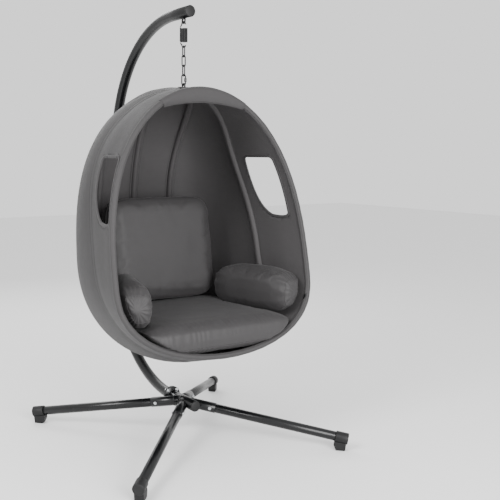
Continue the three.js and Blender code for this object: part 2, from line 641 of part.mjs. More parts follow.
// ---- the egg ------------------------------------------------------------------------------------------
/** A rib's path on the inset skin between two levels; place(level) gives t. */
function ribPath(from, to, side, place, count = 14) {
  const points = [];
  for (let i = 0; i <= count; i += 1) {
    const level = deg(from + ((to - from) * i) / count);
    points.push(skinPoint(level, place(level), side, RIB.inset));
  }
  return new THREE.CatmullRomCurve3(points, false, 'centripetal');
}

const RING_CROWN_Y = ringPoint(Math.PI / 2).y;
const smooth = (s) => { const u = Math.min(Math.max(s, 0), 1); return u * u * (3 - 2 * u); };
const sideSpline = new THREE.SplineCurve(RIB.sideCourse.map(([at, t]) => new THREE.Vector2(at, t)));
const sidePlace = (level) => {
  let [low, high] = [0, 1];
  for (let i = 0; i < 30; i += 1) {
    const mid = (low + high) / 2;
    if (sideSpline.getPoint(mid).x < (level * 180) / Math.PI) low = mid; else high = mid;
  }
  return sideSpline.getPoint(low).y;
};
const backPlace = (level) => placeOfWidth(RIB.backNear + (RIB.backFar - RIB.backNear) * smooth((level - deg(13)) / deg(77)));

/** Where along the crown the hanging axis (y = 0) crosses. */
const CROWN_T = RING_CROWN_Y / (RING_CROWN_Y - BACK.topY);

/** The spine: from the crown plate over the back, down and along the keel to the ring's foot. */
function spinePath() {
  const points = [];
  for (let i = 0; i <= 3; i += 1) points.push(skinPoint(Math.PI / 2, CROWN_T + (1 - CROWN_T) * 0.33 * i, 1, RIB.inset));
  for (let i = 1; i < 16; i += 1) points.push(skinPoint(deg(90 - (180 * i) / 16), 1, 1, RIB.inset));
  for (let i = 0; i <= 5; i += 1) points.push(skinPoint(-Math.PI / 2, 1 - 0.195 * i, 1, RIB.inset));
  points.forEach((p) => { p.x = 0; });
  return new THREE.CatmullRomCurve3(points, false, 'centripetal');
}

const HANG_Z = skinPoint(Math.PI / 2, CROWN_T, 1, RIB.inset).z;

/** The crown plate with the eye that the quick link goes through; one welded piece. */
function crownPlate() {
  const top = HANG_Z + 1;
  const plate = rod(v3(0, 0, top - EGG_EYE.plateThick), v3(0, 0, top), EGG_EYE.plateRadius, 18);
  const ringZ = EGG_HOOK_Z + EGG_EYE.wire - EGG_EYE.ringRadius + GAP;
  const ring = new THREE.TorusGeometry(EGG_EYE.ringRadius, EGG_EYE.wire, 6, 16).rotateY(Math.PI / 2).translate(0, 0, ringZ);
  const stem = rod(v3(0, 0, top - 1), v3(0, 0, ringZ - EGG_EYE.ringRadius), EGG_EYE.stem, 12);
  return join(plate, ring, stem);
}

/** The side window's outline in the YZ plane, drawn inwards by an offset. */
function windowOutline(offset = 0) {
  const { topZ, bottomZ, corner } = WINDOW;
  const frontAt = (z) => { const dz = z - RING.midZ; return RING.midY + RING.lean * dz + RING.bow * dz * dz + WINDOW.frontGap + offset; };
  const top = topZ - offset;
  const foot = bottomZ + offset;
  const rear = WINDOW.rearY - offset;
  const shape = new THREE.Shape();
  shape.moveTo(frontAt(foot + corner), foot + corner);
  shape.lineTo(frontAt(top - corner), top - corner);
  shape.quadraticCurveTo(frontAt(top), top, frontAt(top) + corner, top);
  shape.lineTo(rear - corner, top);
  shape.quadraticCurveTo(rear, top, rear + 2, top - corner);
  shape.bezierCurveTo(rear + 8, top - 110, rear - 30, foot + 40, rear - 130, foot + 6);
  shape.quadraticCurveTo(frontAt(foot) + 6, foot - 6, frontAt(foot + corner), foot + corner);
  return shape;
}

/** The prism that cuts both windows: the outline run straight across the egg. */
function windowCutter() {
  const prism = new THREE.ExtrudeGeometry(windowOutline(), { depth: 1200, bevelEnabled: false, curveSegments: 6 });
  return prism.applyMatrix4(new THREE.Matrix4().set(0, 0, 1, -600, 1, 0, 0, 0, 0, 1, 0, 0, 0, 0, 0, 1));
}

/** The bound edge of a window, a soft cord just inside the cut. */
function windowBinding(side) {
  const outline = windowOutline(5).getSpacedPoints(30).slice(0, 30);
  const points = outline.map((p) => v3(side * (sideOfSkin(p.x, p.y, SKIN / 2)), p.x, p.y));
  const place = (u) => {
    const i = Math.round((u / (2 * Math.PI)) * 30) % 30;
    const tangent = points[(i + 1) % 30].clone().sub(points[(i + 29) % 30]).normalize();
    const out = tangent.clone().cross(v3(1, 0, 0)).normalize();
    return { centre: points[i], out, side: tangent.clone().cross(out) };
  };
  return facingOut(loopSweep(place, circleSection(3, 5), 30));
}

/** The sewn cover, with its windows, the hole for the eye, and room for the rim sleeve. */
function shellCover() {
  const sheet = closeGrids(skinGrid(20, 28, 0, 0), skinGrid(20, 28, SKIN, 0));
  const sleeveRoom = ringLoop(roomSection(SLEEVE.radius, 10));
  const eyeHole = rod(v3(0, 0, HANG_Z - 10), v3(0, 0, HANG_Z + 60), 19, 10);
  return cut(sheet, windowCutter(), sleeveRoom, eyeHole);
}

/** The facing that closes the top of the opening: a crescent between the ring and a nearly straight edge. */
function topBand() {
  const across = 190;
  const crescent = new THREE.Shape();
  const edge = RING.topZ - BAND.depth;
  crescent.moveTo(-across, edge - 30);
  crescent.quadraticCurveTo(0, edge + 30, across, edge - 30);
  crescent.lineTo(across, RING.topZ + 30);
  crescent.lineTo(-across, RING.topZ + 30);
  crescent.closePath();
  const slab = new THREE.ExtrudeGeometry(crescent, { depth: BAND.thick, bevelEnabled: false, curveSegments: 10 });
  slab.rotateX(Math.PI / 2);
  const p = slab.attributes.position;
  for (let i = 0; i < p.count; i += 1) {
    const dz = p.getZ(i) - RING.midZ;
    p.setY(i, p.getY(i) + RING.midY + RING.lean * dz + RING.bow * dz * dz + BAND.thick / 2);
  }
  const inside = meet(slab, eggRoom(SKIN + GAP));
  return cut(inside, ringLoop(roomSection(SLEEVE.radius + GAP, 10)));
}

function buildFrame() {
  const sleeveRoom = ringLoop(roomSection(SLEEVE.radius, 10));
  const plateRoom = rod(v3(0, 0, HANG_Z - 30), v3(0, 0, HANG_Z + 30), EGG_EYE.plateRadius + 2 * GAP, 18);
  add('crown_plate', crownPlate(), 'powder');
  const tube = circleSection(SLEEVE.tube, 8);
  const bore = circleSection(SLEEVE.tube - SLEEVE.wall, 6);
  const slot = ringAt(Math.PI * 1.5);
  const drain = rod(slot.centre.clone(), slot.centre.clone().add(v3(0, 30, 0)), 2.5, 8);
  add('front_ring', cut(ringLoop(tube), ringLoop(bore), drain), 'powder');
  const spineRoom = tubeAlong(spinePath(), RIB.radius + 3 * GAP, 24, { segments: 3 });
  const bar = (path, steps) => tubeAlong(path, RIB.radius, steps, { segments: 3 });
  add('spine_rib', cut(bar(spinePath(), 24), plateRoom, sleeveRoom), 'powder');
  const strut = new THREE.LineCurve3(v3(0, 0, HANG_Z), skinPoint(Math.PI / 2, 0.04, 1, RIB.inset));
  add('crown_strut', cut(bar(strut, 2), plateRoom, sleeveRoom), 'powder');
  [['left', -1], ['right', 1]].forEach(([name, side]) => {
    const sides = ribPath(90, -90, side, sidePlace, 20);
    const backs = ribPath(90, -88, side, backPlace, 20);
    const sideRoom = tubeAlong(sides, RIB.radius + 3 * GAP, 20, { segments: 3 });
    add(`side_rib_${name}`, largest(cut(bar(sides, 20), plateRoom, spineRoom)), 'powder');
    add(`back_rib_${name}`, largest(cut(bar(backs, 20), plateRoom, spineRoom, sideRoom)), 'powder');
  });
}

/** Keeps the biggest piece where a cut has left crumbs. */
function largest(geometry) {
  const pieces = solid(geometry).decompose();
  return geometryOf(pieces.reduce((a, b) => (a.volume() > b.volume() ? a : b)));
}

// ---- cushions -----------------------------------------------------------------------------------------
/** A soft block: a sphere squared off by powers, so that it is full in the middle and rounded at the edges. */
function softBlock(halfX, halfY, halfZ, power, edgePower, around = 20, rows = 10) {
  const geometry = new THREE.SphereGeometry(1, around, rows);
  const p = geometry.attributes.position;
  const bend = (c, n) => (Math.abs(c) < 1e-9 ? 0 : Math.sign(c) * Math.abs(c) ** (2 / n));
  for (let i = 0; i < p.count; i += 1) {
    const [x, y, z] = [p.getX(i), p.getZ(i), p.getY(i)];
    const flat = Math.hypot(x, y) || 1;
    const ring = bend(Math.hypot(x, y), edgePower);
    p.setXYZ(i, halfX * ring * bend(x / flat, power), halfY * ring * bend(y / flat, power), halfZ * bend(z, edgePower));
  }
  return facingOut(geometry);
}

/** What the cushions must stay inside: the skin less the ribs and their sleeves. */
const cushionRoom = (geometry) => meet(geometry, eggRoom(CUSHION_INSET));

function buildCushions() {
  const rimRoom = ringLoop(circleSection(SLEEVE.radius + 2, 8));
  const seat = softBlock(SEAT.halfWidth, (SEAT.rearY - SEAT.frontY) / 2, (SEAT.topZ - SEAT.bottomZ) / 2, SEAT.squareness, SEAT.crown)
    .translate(0, (SEAT.rearY + SEAT.frontY) / 2, (SEAT.topZ + SEAT.bottomZ) / 2);
  const rest = softBlock(BACKREST.width / 2, BACKREST.thick / 2, BACKREST.height / 2, BACKREST.squareness, BACKREST.crown)
    .translate(0, BACKREST.thick / 2, BACKREST.height / 2)
    .rotateX(-deg(BACKREST.lean))
    .translate(0, BACKREST.footY, BACKREST.footZ);
  const armAt = (side, gap) =>
    softBlock(ARM.thick / 2 + gap, ARM.length / 2 + gap, ARM.height / 2 + gap, ARM.squareness, ARM.crown, 16, 8)
      .rotateZ(side * deg(ARM.turn))
      .translate(side * ARM.x, ARM.y, ARM.z);
  // The arm pillows sink into the seat and the back, so both are hollowed where a pillow lies.
  const hollowed = (piece) => largest(cut(piece, armAt(-1, CUSHION_GAP), armAt(1, CUSHION_GAP)));
  add('seat_cushion', hollowed(cut(cushionRoom(seat), rimRoom)), 'cushion');
  const seatRoom = seat.clone().translate(0, 0, CUSHION_GAP);
  add('back_cushion', hollowed(cut(cushionRoom(rest), seat, seatRoom)), 'cushion');
  [['left', -1], ['right', 1]].forEach(([name, side]) => {
    add(`arm_cushion_${name}`, largest(cut(cushionRoom(armAt(side, 0)), rimRoom)), 'cushion');
  });
}

function buildEgg() {
  buildFrame();
  add('shell_cover', largest(shellCover()), 'cover');
  add('rim_sleeve', ringLoop(sleeveSection()), 'cover');
  add('top_band', largest(topBand()), 'cover');
  add('window_binding_left', windowBinding(-1), 'cover');
  add('window_binding_right', windowBinding(1), 'cover');
  buildCushions();
}

buildStand();
buildSuspension();
buildEgg();

// The chair's plan runs from the front feet to the back of the pole; the origin sits midway between them.
const box = new THREE.Box3().setFromObject(chair);
chair.position.y = -(box.min.y + box.max.y) / 2;

const root = new THREE.Group();
root.add(chair);
export default root;
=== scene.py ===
"""Hanging egg chair: smooth metalwork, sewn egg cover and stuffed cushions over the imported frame."""

import logging
import math
from dataclasses import dataclass, field
from enum import Enum
from typing import Callable, Iterable, Sequence

import bmesh
import bpy
import numpy as np
from mathutils import Matrix, Vector, kdtree, noise
from mathutils.bvhtree import BVHTree


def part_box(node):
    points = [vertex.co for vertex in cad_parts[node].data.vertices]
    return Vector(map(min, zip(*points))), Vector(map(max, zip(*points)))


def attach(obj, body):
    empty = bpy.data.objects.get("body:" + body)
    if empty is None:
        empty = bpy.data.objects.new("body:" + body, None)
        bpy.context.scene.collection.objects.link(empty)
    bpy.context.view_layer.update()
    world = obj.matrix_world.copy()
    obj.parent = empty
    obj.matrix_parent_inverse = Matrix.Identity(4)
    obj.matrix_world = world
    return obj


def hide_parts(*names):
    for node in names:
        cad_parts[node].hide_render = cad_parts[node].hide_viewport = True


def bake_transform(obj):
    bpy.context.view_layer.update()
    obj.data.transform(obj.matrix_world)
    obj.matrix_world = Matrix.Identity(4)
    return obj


log = logging.getLogger("egg_chair")
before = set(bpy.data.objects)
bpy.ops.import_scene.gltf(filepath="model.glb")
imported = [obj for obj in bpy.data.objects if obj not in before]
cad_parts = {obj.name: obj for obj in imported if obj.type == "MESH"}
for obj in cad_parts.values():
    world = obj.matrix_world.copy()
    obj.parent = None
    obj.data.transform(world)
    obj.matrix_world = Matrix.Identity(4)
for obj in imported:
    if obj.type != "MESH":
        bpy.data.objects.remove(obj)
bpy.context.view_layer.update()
AXIS_Y = sum(corner[1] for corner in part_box("spring_coil")) / 2
HALF_PI = math.pi / 2

# Heights and wire sizes that more than one piece goes by, in metres.
POLE_EYE_Z = 1.888
POLE_EYE_RADIUS = 0.011
POLE_EYE_WIRE = 0.004
CHAIN_TOP = 1.7765
CHAIN_PITCH = 0.0413
CHAIN_LINKS = 3
QUICK_INNER = 0.0406


def place(x: float, y: float, z: float) -> Vector:
    """A point given from the hanging axis, moved into the shared frame."""
    return Vector((x, y + AXIS_Y, z))


EGG_MIDDLE = place(0, 0.1, 0.95)


def angles(count: int, offset: float = 0.0) -> list[float]:
    """Evenly spaced angles of a full turn, each moved on by a part of a step."""
    return [2 * math.pi * (k + offset) / count for k in range(count)]


def lengths(line: Sequence[Vector]) -> list[float]:
    """How far along a line each of its points is."""
    out = [0.0]
    for a, b in zip(line, line[1:]):
        out.append(out[-1] + (b - a).length)
    return out


def evenly(line: Sequence[Vector], count: int) -> list[Vector]:
    """Evenly spaced points along a line, without its last one."""
    length = lengths(line)
    out, k = [], 0
    for i in range(count):
        want = length[-1] * i / count
        while length[k + 1] < want:
            k += 1
        out.append(line[k].lerp(line[k + 1], (want - length[k]) / max(length[k + 1] - length[k], 1e-9)))
    return out


def on_axis(matrix: Matrix, *places: float) -> list[Vector]:
    """Points on a frame's own X axis."""
    return [matrix @ Vector((x, 0, 0)) for x in places]


def linked(name: str, data: bpy.types.ID) -> bpy.types.Object:
    """A new object in the scene."""
    obj = bpy.data.objects.new(name, data)
    bpy.context.scene.collection.objects.link(obj)
    return obj


class Body(Enum):
    """The moving bodies of the chair."""

    STAND = "stand"
    SPRING_TOP = "spring_top"
    SPRING_BOTTOM = "spring_bottom"
    LINK_1 = "link_1"
    LINK_2 = "link_2"
    LINK_3 = "link_3"
    QUICK = "quick"
    EGG = "egg"


class Slot(Enum):
    """The record's material slots."""

    POWDER = "powder_coat"
    ZINC = "zinc_fasteners"
    PLASTIC = "black_plastic"
    CHAIN = "black_chain"
    SHELL = "shell_fabric"
    CUSHION = "cushion_fabric"


# ---- shader groups and finishes ------------------------------------------------------------------------
def new_group(name: str, inputs: Iterable[tuple[str, str, object]],
              outputs: Iterable[tuple[str, str]]) -> bpy.types.NodeTree:
    """Starts a shader node group.

    Args:
        name: the group's name.
        inputs: socket name, socket type and default value of each input.
        outputs: socket name and type of each output.

    Returns:
        The group, with its input and output nodes in it.
    """
    tree = bpy.data.node_groups.new(name, "ShaderNodeTree")
    for label, kind, value in inputs:
        tree.interface.new_socket(label, in_out="INPUT", socket_type=kind).default_value = value
    for label, kind in outputs:
        tree.interface.new_socket(label, in_out="OUTPUT", socket_type=kind)
    tree.nodes.new("NodeGroupInput")
    tree.nodes.new("NodeGroupOutput")
    return tree


class Wiring:
    """Short calls for adding and joining nodes in one tree."""

    def __init__(self, tree: bpy.types.NodeTree) -> None:
        """Keeps the tree."""
        self.tree = tree

    def add(self, kind: str, links: dict[str | int, object] | None = None, **settings: object) -> bpy.types.Node:
        """Adds a node.

        Args:
            kind: the node's type name.
            links: input name or number to a value or an output socket.
            settings: properties of the node.

        Returns:
            The new node.
        """
        node = self.tree.nodes.new(kind)
        for key, value in settings.items():
            setattr(node, key, value)
        self.feed(node, links or {})
        return node

    def feed(self, node: bpy.types.Node, links: dict[str | int, object]) -> None:
        """Joins a node's inputs to the sockets given, and sets the rest to their values."""
        for key, value in links.items():
            if isinstance(value, bpy.types.NodeSocket):
                self.tree.links.new(value, node.inputs[key])
            else:
                node.inputs[key].default_value = value

    def out(self, kind: str, links: dict[str | int, object] | None = None,
            **settings: object) -> bpy.types.NodeSocket:
        """The first output of a new node."""
        return self.add(kind, links, **settings).outputs[0]

    def math(self, operation: str, first: object, second: object = 0.0) -> bpy.types.NodeSocket:
        """A math node's result."""
        return self.add("ShaderNodeMath", {0: first, 1: second}, operation=operation).outputs[0]

    def node(self, kind: str) -> bpy.types.Node:
        """The first node of a type."""
        return next(n for n in self.tree.nodes if n.bl_idname == kind)


def weave_group() -> bpy.types.NodeTree:
    """Plain weave: warp and weft rows from the piece's own UVs, in metres, with uneven threads."""
    tree = new_group("plain_weave",
                     [("Threads per metre", "NodeSocketFloat", 900.0), ("Unevenness", "NodeSocketFloat", 0.35)],
                     [("Height", "NodeSocketFloat"), ("Shade", "NodeSocketFloat")])
    wiring = Wiring(tree)
    given = wiring.node("NodeGroupInput").outputs
    uv = wiring.out("ShaderNodeUVMap", uv_map="metres")
    parts = wiring.add("ShaderNodeSeparateXYZ", {0: uv}).outputs
    turns = wiring.math("MULTIPLY", given["Threads per metre"], math.pi)
    warp = wiring.math("ABSOLUTE", wiring.math("SINE", wiring.math("MULTIPLY", parts[0], turns)))
    weft = wiring.math("ABSOLUTE", wiring.math("SINE", wiring.math("MULTIPLY", parts[1], turns)))
    stretched = wiring.out("ShaderNodeMapping", {"Vector": uv, "Scale": (14.0, 520.0, 1.0)})
    slubs = wiring.out("ShaderNodeTexNoise", {"Vector": stretched, "Scale": 1.0, "Detail": 2.0})
    rows = wiring.math("MULTIPLY", wiring.math("ADD", warp, weft), 0.5)
    uneven = wiring.math("MULTIPLY", slubs, given["Unevenness"])
    out = wiring.node("NodeGroupOutput")
    tree.links.new(wiring.math("ADD", rows, uneven), out.inputs["Height"])
    tree.links.new(wiring.math("ADD", wiring.math("MULTIPLY", rows, 0.3), slubs), out.inputs["Shade"])
    return tree


def mottle_group() -> bpy.types.NodeTree:
    """Broad and fine unevenness of a surface from the piece's own coordinates."""
    tree = new_group("mottle", [("Broad", "NodeSocketFloat", 3.0), ("Fine", "NodeSocketFloat", 60.0)],
                     [("Broad", "NodeSocketFloat"), ("Fine", "NodeSocketFloat"), ("Mask", "NodeSocketFloat")])
    wiring = Wiring(tree)
    given = wiring.node("NodeGroupInput").outputs
    spot = wiring.add("ShaderNodeTexCoord").outputs["Object"]
    broad = wiring.out("ShaderNodeTexNoise", {"Vector": spot, "Scale": given["Broad"], "Detail": 3.0})
    fine = wiring.out("ShaderNodeTexNoise", {"Vector": spot, "Scale": given["Fine"], "Detail": 4.0})
    out = wiring.node("NodeGroupOutput")
    tree.links.new(broad, out.inputs["Broad"])
    tree.links.new(fine, out.inputs["Fine"])
    tree.links.new(wiring.math("MULTIPLY", broad, fine), out.inputs["Mask"])
    return tree


def ramp(wiring: Wiring, factor: bpy.types.NodeSocket,
         stops: Sequence[tuple[float, tuple[float, float, float]]]) -> bpy.types.NodeSocket:
    """A colour ramp between the stops given.

    Args:
        wiring: the tree's wiring.
        factor: the socket that drives the ramp.
        stops: position and colour of each stop, two of them.

    Returns:
        The ramp's colour socket.
    """
    node = wiring.add("ShaderNodeValToRGB", {0: factor})
    for element, (at, color) in zip(node.color_ramp.elements, stops):
        element.position, element.color = at, (*color, 1.0)
    return node.outputs[0]


def shade(color: tuple[float, float, float], by: float) -> tuple[float, float, float]:
    """A colour made lighter or darker by a factor."""
    return tuple(min(c * by, 1.0) for c in color)


@dataclass(frozen=True)
class Cloth:
    """A woven fabric finish."""

    name: str
    color: tuple[float, float, float]
    roughness: float = 0.78
    sheen: float = 0.25
    threads: float = 900.0
    bump: float = 0.25

    def material(self, groups: dict[str, bpy.types.NodeTree]) -> bpy.types.Material:
        """Builds the finish.

        Args:
            groups: the shared shader groups.

        Returns:
            The material.
        """
        material, wiring, bsdf = blank(self.name)
        weave = wiring.add("ShaderNodeGroup", {"Threads per metre": self.threads}, node_tree=groups["weave"])
        mottle = wiring.add("ShaderNodeGroup", {"Broad": 2.6, "Fine": 45.0}, node_tree=groups["mottle"])
        tone = wiring.math("ADD", wiring.math("MULTIPLY", weave.outputs["Shade"], 0.45),
                           wiring.math("MULTIPLY", mottle.outputs["Broad"], 0.5))
        color = ramp(wiring, tone, [(0.25, shade(self.color, 0.86)), (0.75, shade(self.color, 1.12))])
        rough = wiring.math("ADD", wiring.math("MULTIPLY", mottle.outputs["Fine"], 0.14), self.roughness - 0.07)
        height = wiring.math("ADD", weave.outputs["Height"], wiring.math("MULTIPLY", mottle.outputs["Fine"], 1.2))
        bump = wiring.out("ShaderNodeBump", {"Strength": self.bump, "Distance": 0.0006, "Height": height})
        wiring.feed(bsdf, {"Base Color": color, "Roughness": rough, "Normal": bump, "Sheen Weight": self.sheen,
                           "Sheen Roughness": 0.45, "Specular IOR Level": 0.3})
        return material


@dataclass(frozen=True)
class Hard:
    """A metal or plastic finish."""

    name: str
    color: tuple[float, float, float]
    roughness: float
    metallic: float = 0.0
    coat: float = 0.0
    grain: float = 260.0
    bump: float = 0.08
    wear: float = 1.4

    def material(self, groups: dict[str, bpy.types.NodeTree]) -> bpy.types.Material:
        """Builds the finish.

        Args:
            groups: the shared shader groups.

        Returns:
            The material.
        """
        material, wiring, bsdf = blank(self.name)
        mottle = wiring.add("ShaderNodeGroup", {"Broad": 9.0, "Fine": self.grain}, node_tree=groups["mottle"])
        color = ramp(wiring, mottle.outputs["Mask"], [(0.15, self.color), (0.5, shade(self.color, self.wear))])
        rough = wiring.math("ADD", wiring.math("MULTIPLY", mottle.outputs["Broad"], 0.12), self.roughness - 0.06)
        bump = wiring.out("ShaderNodeBump",
                          {"Strength": self.bump, "Distance": 0.0004, "Height": mottle.outputs["Fine"]})
        wiring.feed(bsdf, {"Base Color": color, "Roughness": rough, "Normal": bump, "Metallic": self.metallic,
                           "Coat Weight": self.coat, "Coat Roughness": 0.12, "Specular IOR Level": 0.36})
        return material


def blank(name: str) -> tuple[bpy.types.Material, Wiring, bpy.types.Node]:
    """A new node material, its wiring and its shader."""
    material = bpy.data.materials.new(name)
    material.use_nodes = True
    wiring = Wiring(material.node_tree)
    return material, wiring, wiring.node("ShaderNodeBsdfPrincipled")


class Finishes:
    """Every finish of the chair, built once."""

    def __init__(self) -> None:
        """Builds the groups and the materials."""
        groups = {"weave": weave_group(), "mottle": mottle_group()}
        self.powder = Hard("gloss_powder_coat", (0.0022, 0.0024, 0.0028), 0.28, 0.0, 0.06, 420.0, 0.1,
                           1.7).material(groups)
        self.zinc = Hard("zinc_plate", (0.55, 0.56, 0.57), 0.32, 0.95, 0.0, 700.0, 0.1, 1.15).material(groups)
        self.chain = Hard("black_chain_steel", (0.01, 0.01, 0.0105), 0.38, 0.35, 0.05, 500.0, 0.12,
                          2.0).material(groups)
        self.plastic = Hard("moulded_black_plastic", (0.0035, 0.0035, 0.0038), 0.55, 0.0, 0.0, 900.0, 0.3,
                            1.5).material(groups)
        self.shell = Cloth("shell_cloth", (0.027, 0.0256, 0.0264), 0.66, 0.04).material(groups)
        self.lining = Cloth("lining_cloth", (0.046, 0.0436, 0.0446), 0.7, 0.04).material(groups)
        self.band = Cloth("band_cloth", (0.034, 0.0324, 0.0332), 0.66, 0.04).material(groups)
        self.hem = Cloth("hem_cloth", (0.034, 0.0324, 0.0332), 0.64, 0.05).material(groups)
        self.cushion = Cloth("cushion_cloth", (0.029, 0.0275, 0.0283), 0.54, 0.06, 1100.0, 0.2).material(groups)
        # Thread colour is partly the stitches' own dark thread and partly painted shade: it is darkened so that the
        # rows along the channels' edges draw the shade lines there.
        self.thread_and_seam_shade = Cloth("sewing_thread_and_painted_seam_shade", (0.012, 0.0115, 0.0118), 0.6, 0.03, 2500.0, 0.2).material(groups)


# ---- mesh tools ----------------------------------------------------------------------------------------
def mesh_object(name: str, verts: Sequence[Vector], faces: Sequence[Sequence[int]],
                smooth: bool = True) -> bpy.types.Object:
    """A mesh object at the origin.

    Args:
        name: the piece's name.
        verts: points in the shared frame.
        faces: point numbers of each face.
        smooth: whether faces shade smoothly.

    Returns:
        The linked object.
    """
    mesh = bpy.data.meshes.new(name)
    mesh.from_pydata([tuple(v) for v in verts], [], faces)
    mesh.polygons.foreach_set("use_smooth", [smooth] * len(mesh.polygons))
    return linked(name, mesh)


def tidy(obj: bpy.types.Object, merge: float = 1e-6) -> bpy.types.Object:
    """Merges doubles and turns every face outwards."""
    mesh = bmesh.new()
    mesh.from_mesh(obj.data)
    bmesh.ops.remove_doubles(mesh, verts=mesh.verts, dist=merge)
    bmesh.ops.recalc_face_normals(mesh, faces=mesh.faces)
    mesh.to_mesh(obj.data)
    mesh.free()
    return obj


def bake(obj: bpy.types.Object) -> bpy.types.Object:
    """Replaces a piece's mesh with what its modifiers make of it."""
    depsgraph = bpy.context.evaluated_depsgraph_get()
    depsgraph.update()
    made = bpy.data.meshes.new_from_object(obj.evaluated_get(depsgraph), depsgraph=depsgraph)
    obj.modifiers.clear()
    obj.data = made
    made.name = obj.name
    return obj


def joined(name: str, pieces: Sequence[bpy.types.Object]) -> bpy.types.Object:
    """Joins pieces into one mesh object with one material per face kept."""
    verts: list[Vector] = []
    faces: list[list[int]] = []
    marks: list[tuple[int, bool]] = []
    materials: list[bpy.types.Material] = []
    for piece in pieces:
        start = len(verts)
        verts += [v.co.copy() for v in piece.data.vertices]
        for polygon in piece.data.polygons:
            faces.append([start + v for v in polygon.vertices])
            material = piece.data.materials[polygon.material_index] if piece.data.materials else None
            if material and material not in materials:
                materials.append(material)
            marks.append((materials.index(material) if material else 0, polygon.use_smooth))
        bpy.data.objects.remove(piece)
    whole = mesh_object(name, verts, faces)
    for material in materials:
        whole.data.materials.append(material)
    for polygon, (index, smooth) in zip(whole.data.polygons, marks):
        polygon.material_index, polygon.use_smooth = index, smooth
    return whole


def grid_faces(rows: int, columns: int, wrap_rows: bool = False,
               wrap_columns: bool = False) -> list[tuple[int, int, int, int]]:
    """Faces of a grid of points stored row by row."""
    faces = []
    for i in range(rows if wrap_rows else rows - 1):
        for j in range(columns if wrap_columns else columns - 1):
            a, b = i * columns, ((i + 1) % rows) * columns
            k = (j + 1) % columns
            faces.append((a + j, a + k, b + k, b + j))
    return faces


def sweep(name: str, path: Sequence[tuple[Vector, Vector, Vector]],
          section: Callable[[int], Sequence[tuple[float, float]]],
          closed: bool, caps: bool = True, ring: bool = True) -> bpy.types.Object:
    """Runs a section along a framed path.

    Args:
        name: the piece's name.
        path: centre and the two section directions at each step.
        section: gives the section's points at a step.
        closed: whether the path closes on itself.
        caps: whether open ends are closed with a face.
        ring: whether the section closes on itself.

    Returns:
        The swept piece.
    """
    verts = [centre + a * out + b * side for k, (centre, out, side) in enumerate(path) for a, b in section(k)]
    count = len(section(0))
    faces: list[Sequence[int]] = list(grid_faces(len(path), count, closed, ring))
    if caps and not closed and ring:
        faces += [list(range(count))[::-1], list(range(len(verts) - count, len(verts)))]
    return tidy(mesh_object(name, verts, faces))


def lathe(name: str, profile: Sequence[tuple[float, float]], base: Vector, axis: Vector,
          sides: int = 40) -> bpy.types.Object:
    """Turns a profile of (radius, height) round an axis from a base point."""
    along = axis.normalized()
    u = along.orthogonal().normalized()
    w = along.cross(u)
    verts, faces = [], []
    for radius, height in profile:
        for a in angles(sides):
            verts.append(base + along * height + (u * math.cos(a) + w * math.sin(a)) * max(radius, 1e-7))
    faces = grid_faces(len(profile), sides, False, True)
    return tidy(mesh_object(name, verts, faces), 2e-6)


def surface_of(obj: bpy.types.Object) -> BVHTree:
    """A search tree over a piece's faces."""
    return BVHTree.FromPolygons([v.co.copy() for v in obj.data.vertices],
                                [tuple(p.vertices) for p in obj.data.polygons])


def metre_uv(obj: bpy.types.Object) -> None:
    """Lays a UV map in metres over a piece, each face seen along its main axis."""
    mesh = obj.data
    layer = mesh.uv_layers.get("metres") or mesh.uv_layers.new(name="metres")
    points = np.empty(len(mesh.vertices) * 3, np.float32)
    mesh.vertices.foreach_get("co", points)
    normals = np.empty(len(mesh.polygons) * 3, np.float32)
    mesh.polygons.foreach_get("normal", normals)
    corners = np.empty(len(mesh.loops), np.int32)
    mesh.loops.foreach_get("vertex_index", corners)
    sizes = np.empty(len(mesh.polygons), np.int32)
    mesh.polygons.foreach_get("loop_total", sizes)
    main = np.repeat(np.abs(normals.reshape(-1, 3)).argmax(1), sizes)
    across, up = np.array([1, 0, 0])[main], np.array([2, 2, 1])[main]
    at = points.reshape(-1, 3)[corners]
    rows = np.arange(len(corners))
    layer.data.foreach_set("uv", np.stack([at[rows, across], at[rows, up]], 1).ravel().astype(np.float32))


def dress(obj: bpy.types.Object, material: bpy.types.Material, body: Body,
          replaces: Sequence[str] = ()) -> bpy.types.Object:
    """Finishes a piece: material, body and the CAD nodes it stands for.

    Args:
        obj: the piece.
        material: its finish, unless its faces already have theirs.
        body: the body it rides on.
        replaces: CAD nodes it stands for.

    Returns:
        The same piece.
    """
    if not any(obj.data.materials):
        obj.data.materials.clear()
        obj.data.materials.append(material)
    metre_uv(obj)
    if replaces:
        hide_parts(*replaces)
    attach(obj, body.value)
    log.info("%s on %s: %d faces", obj.name, body.value, len(obj.data.polygons))
    return obj


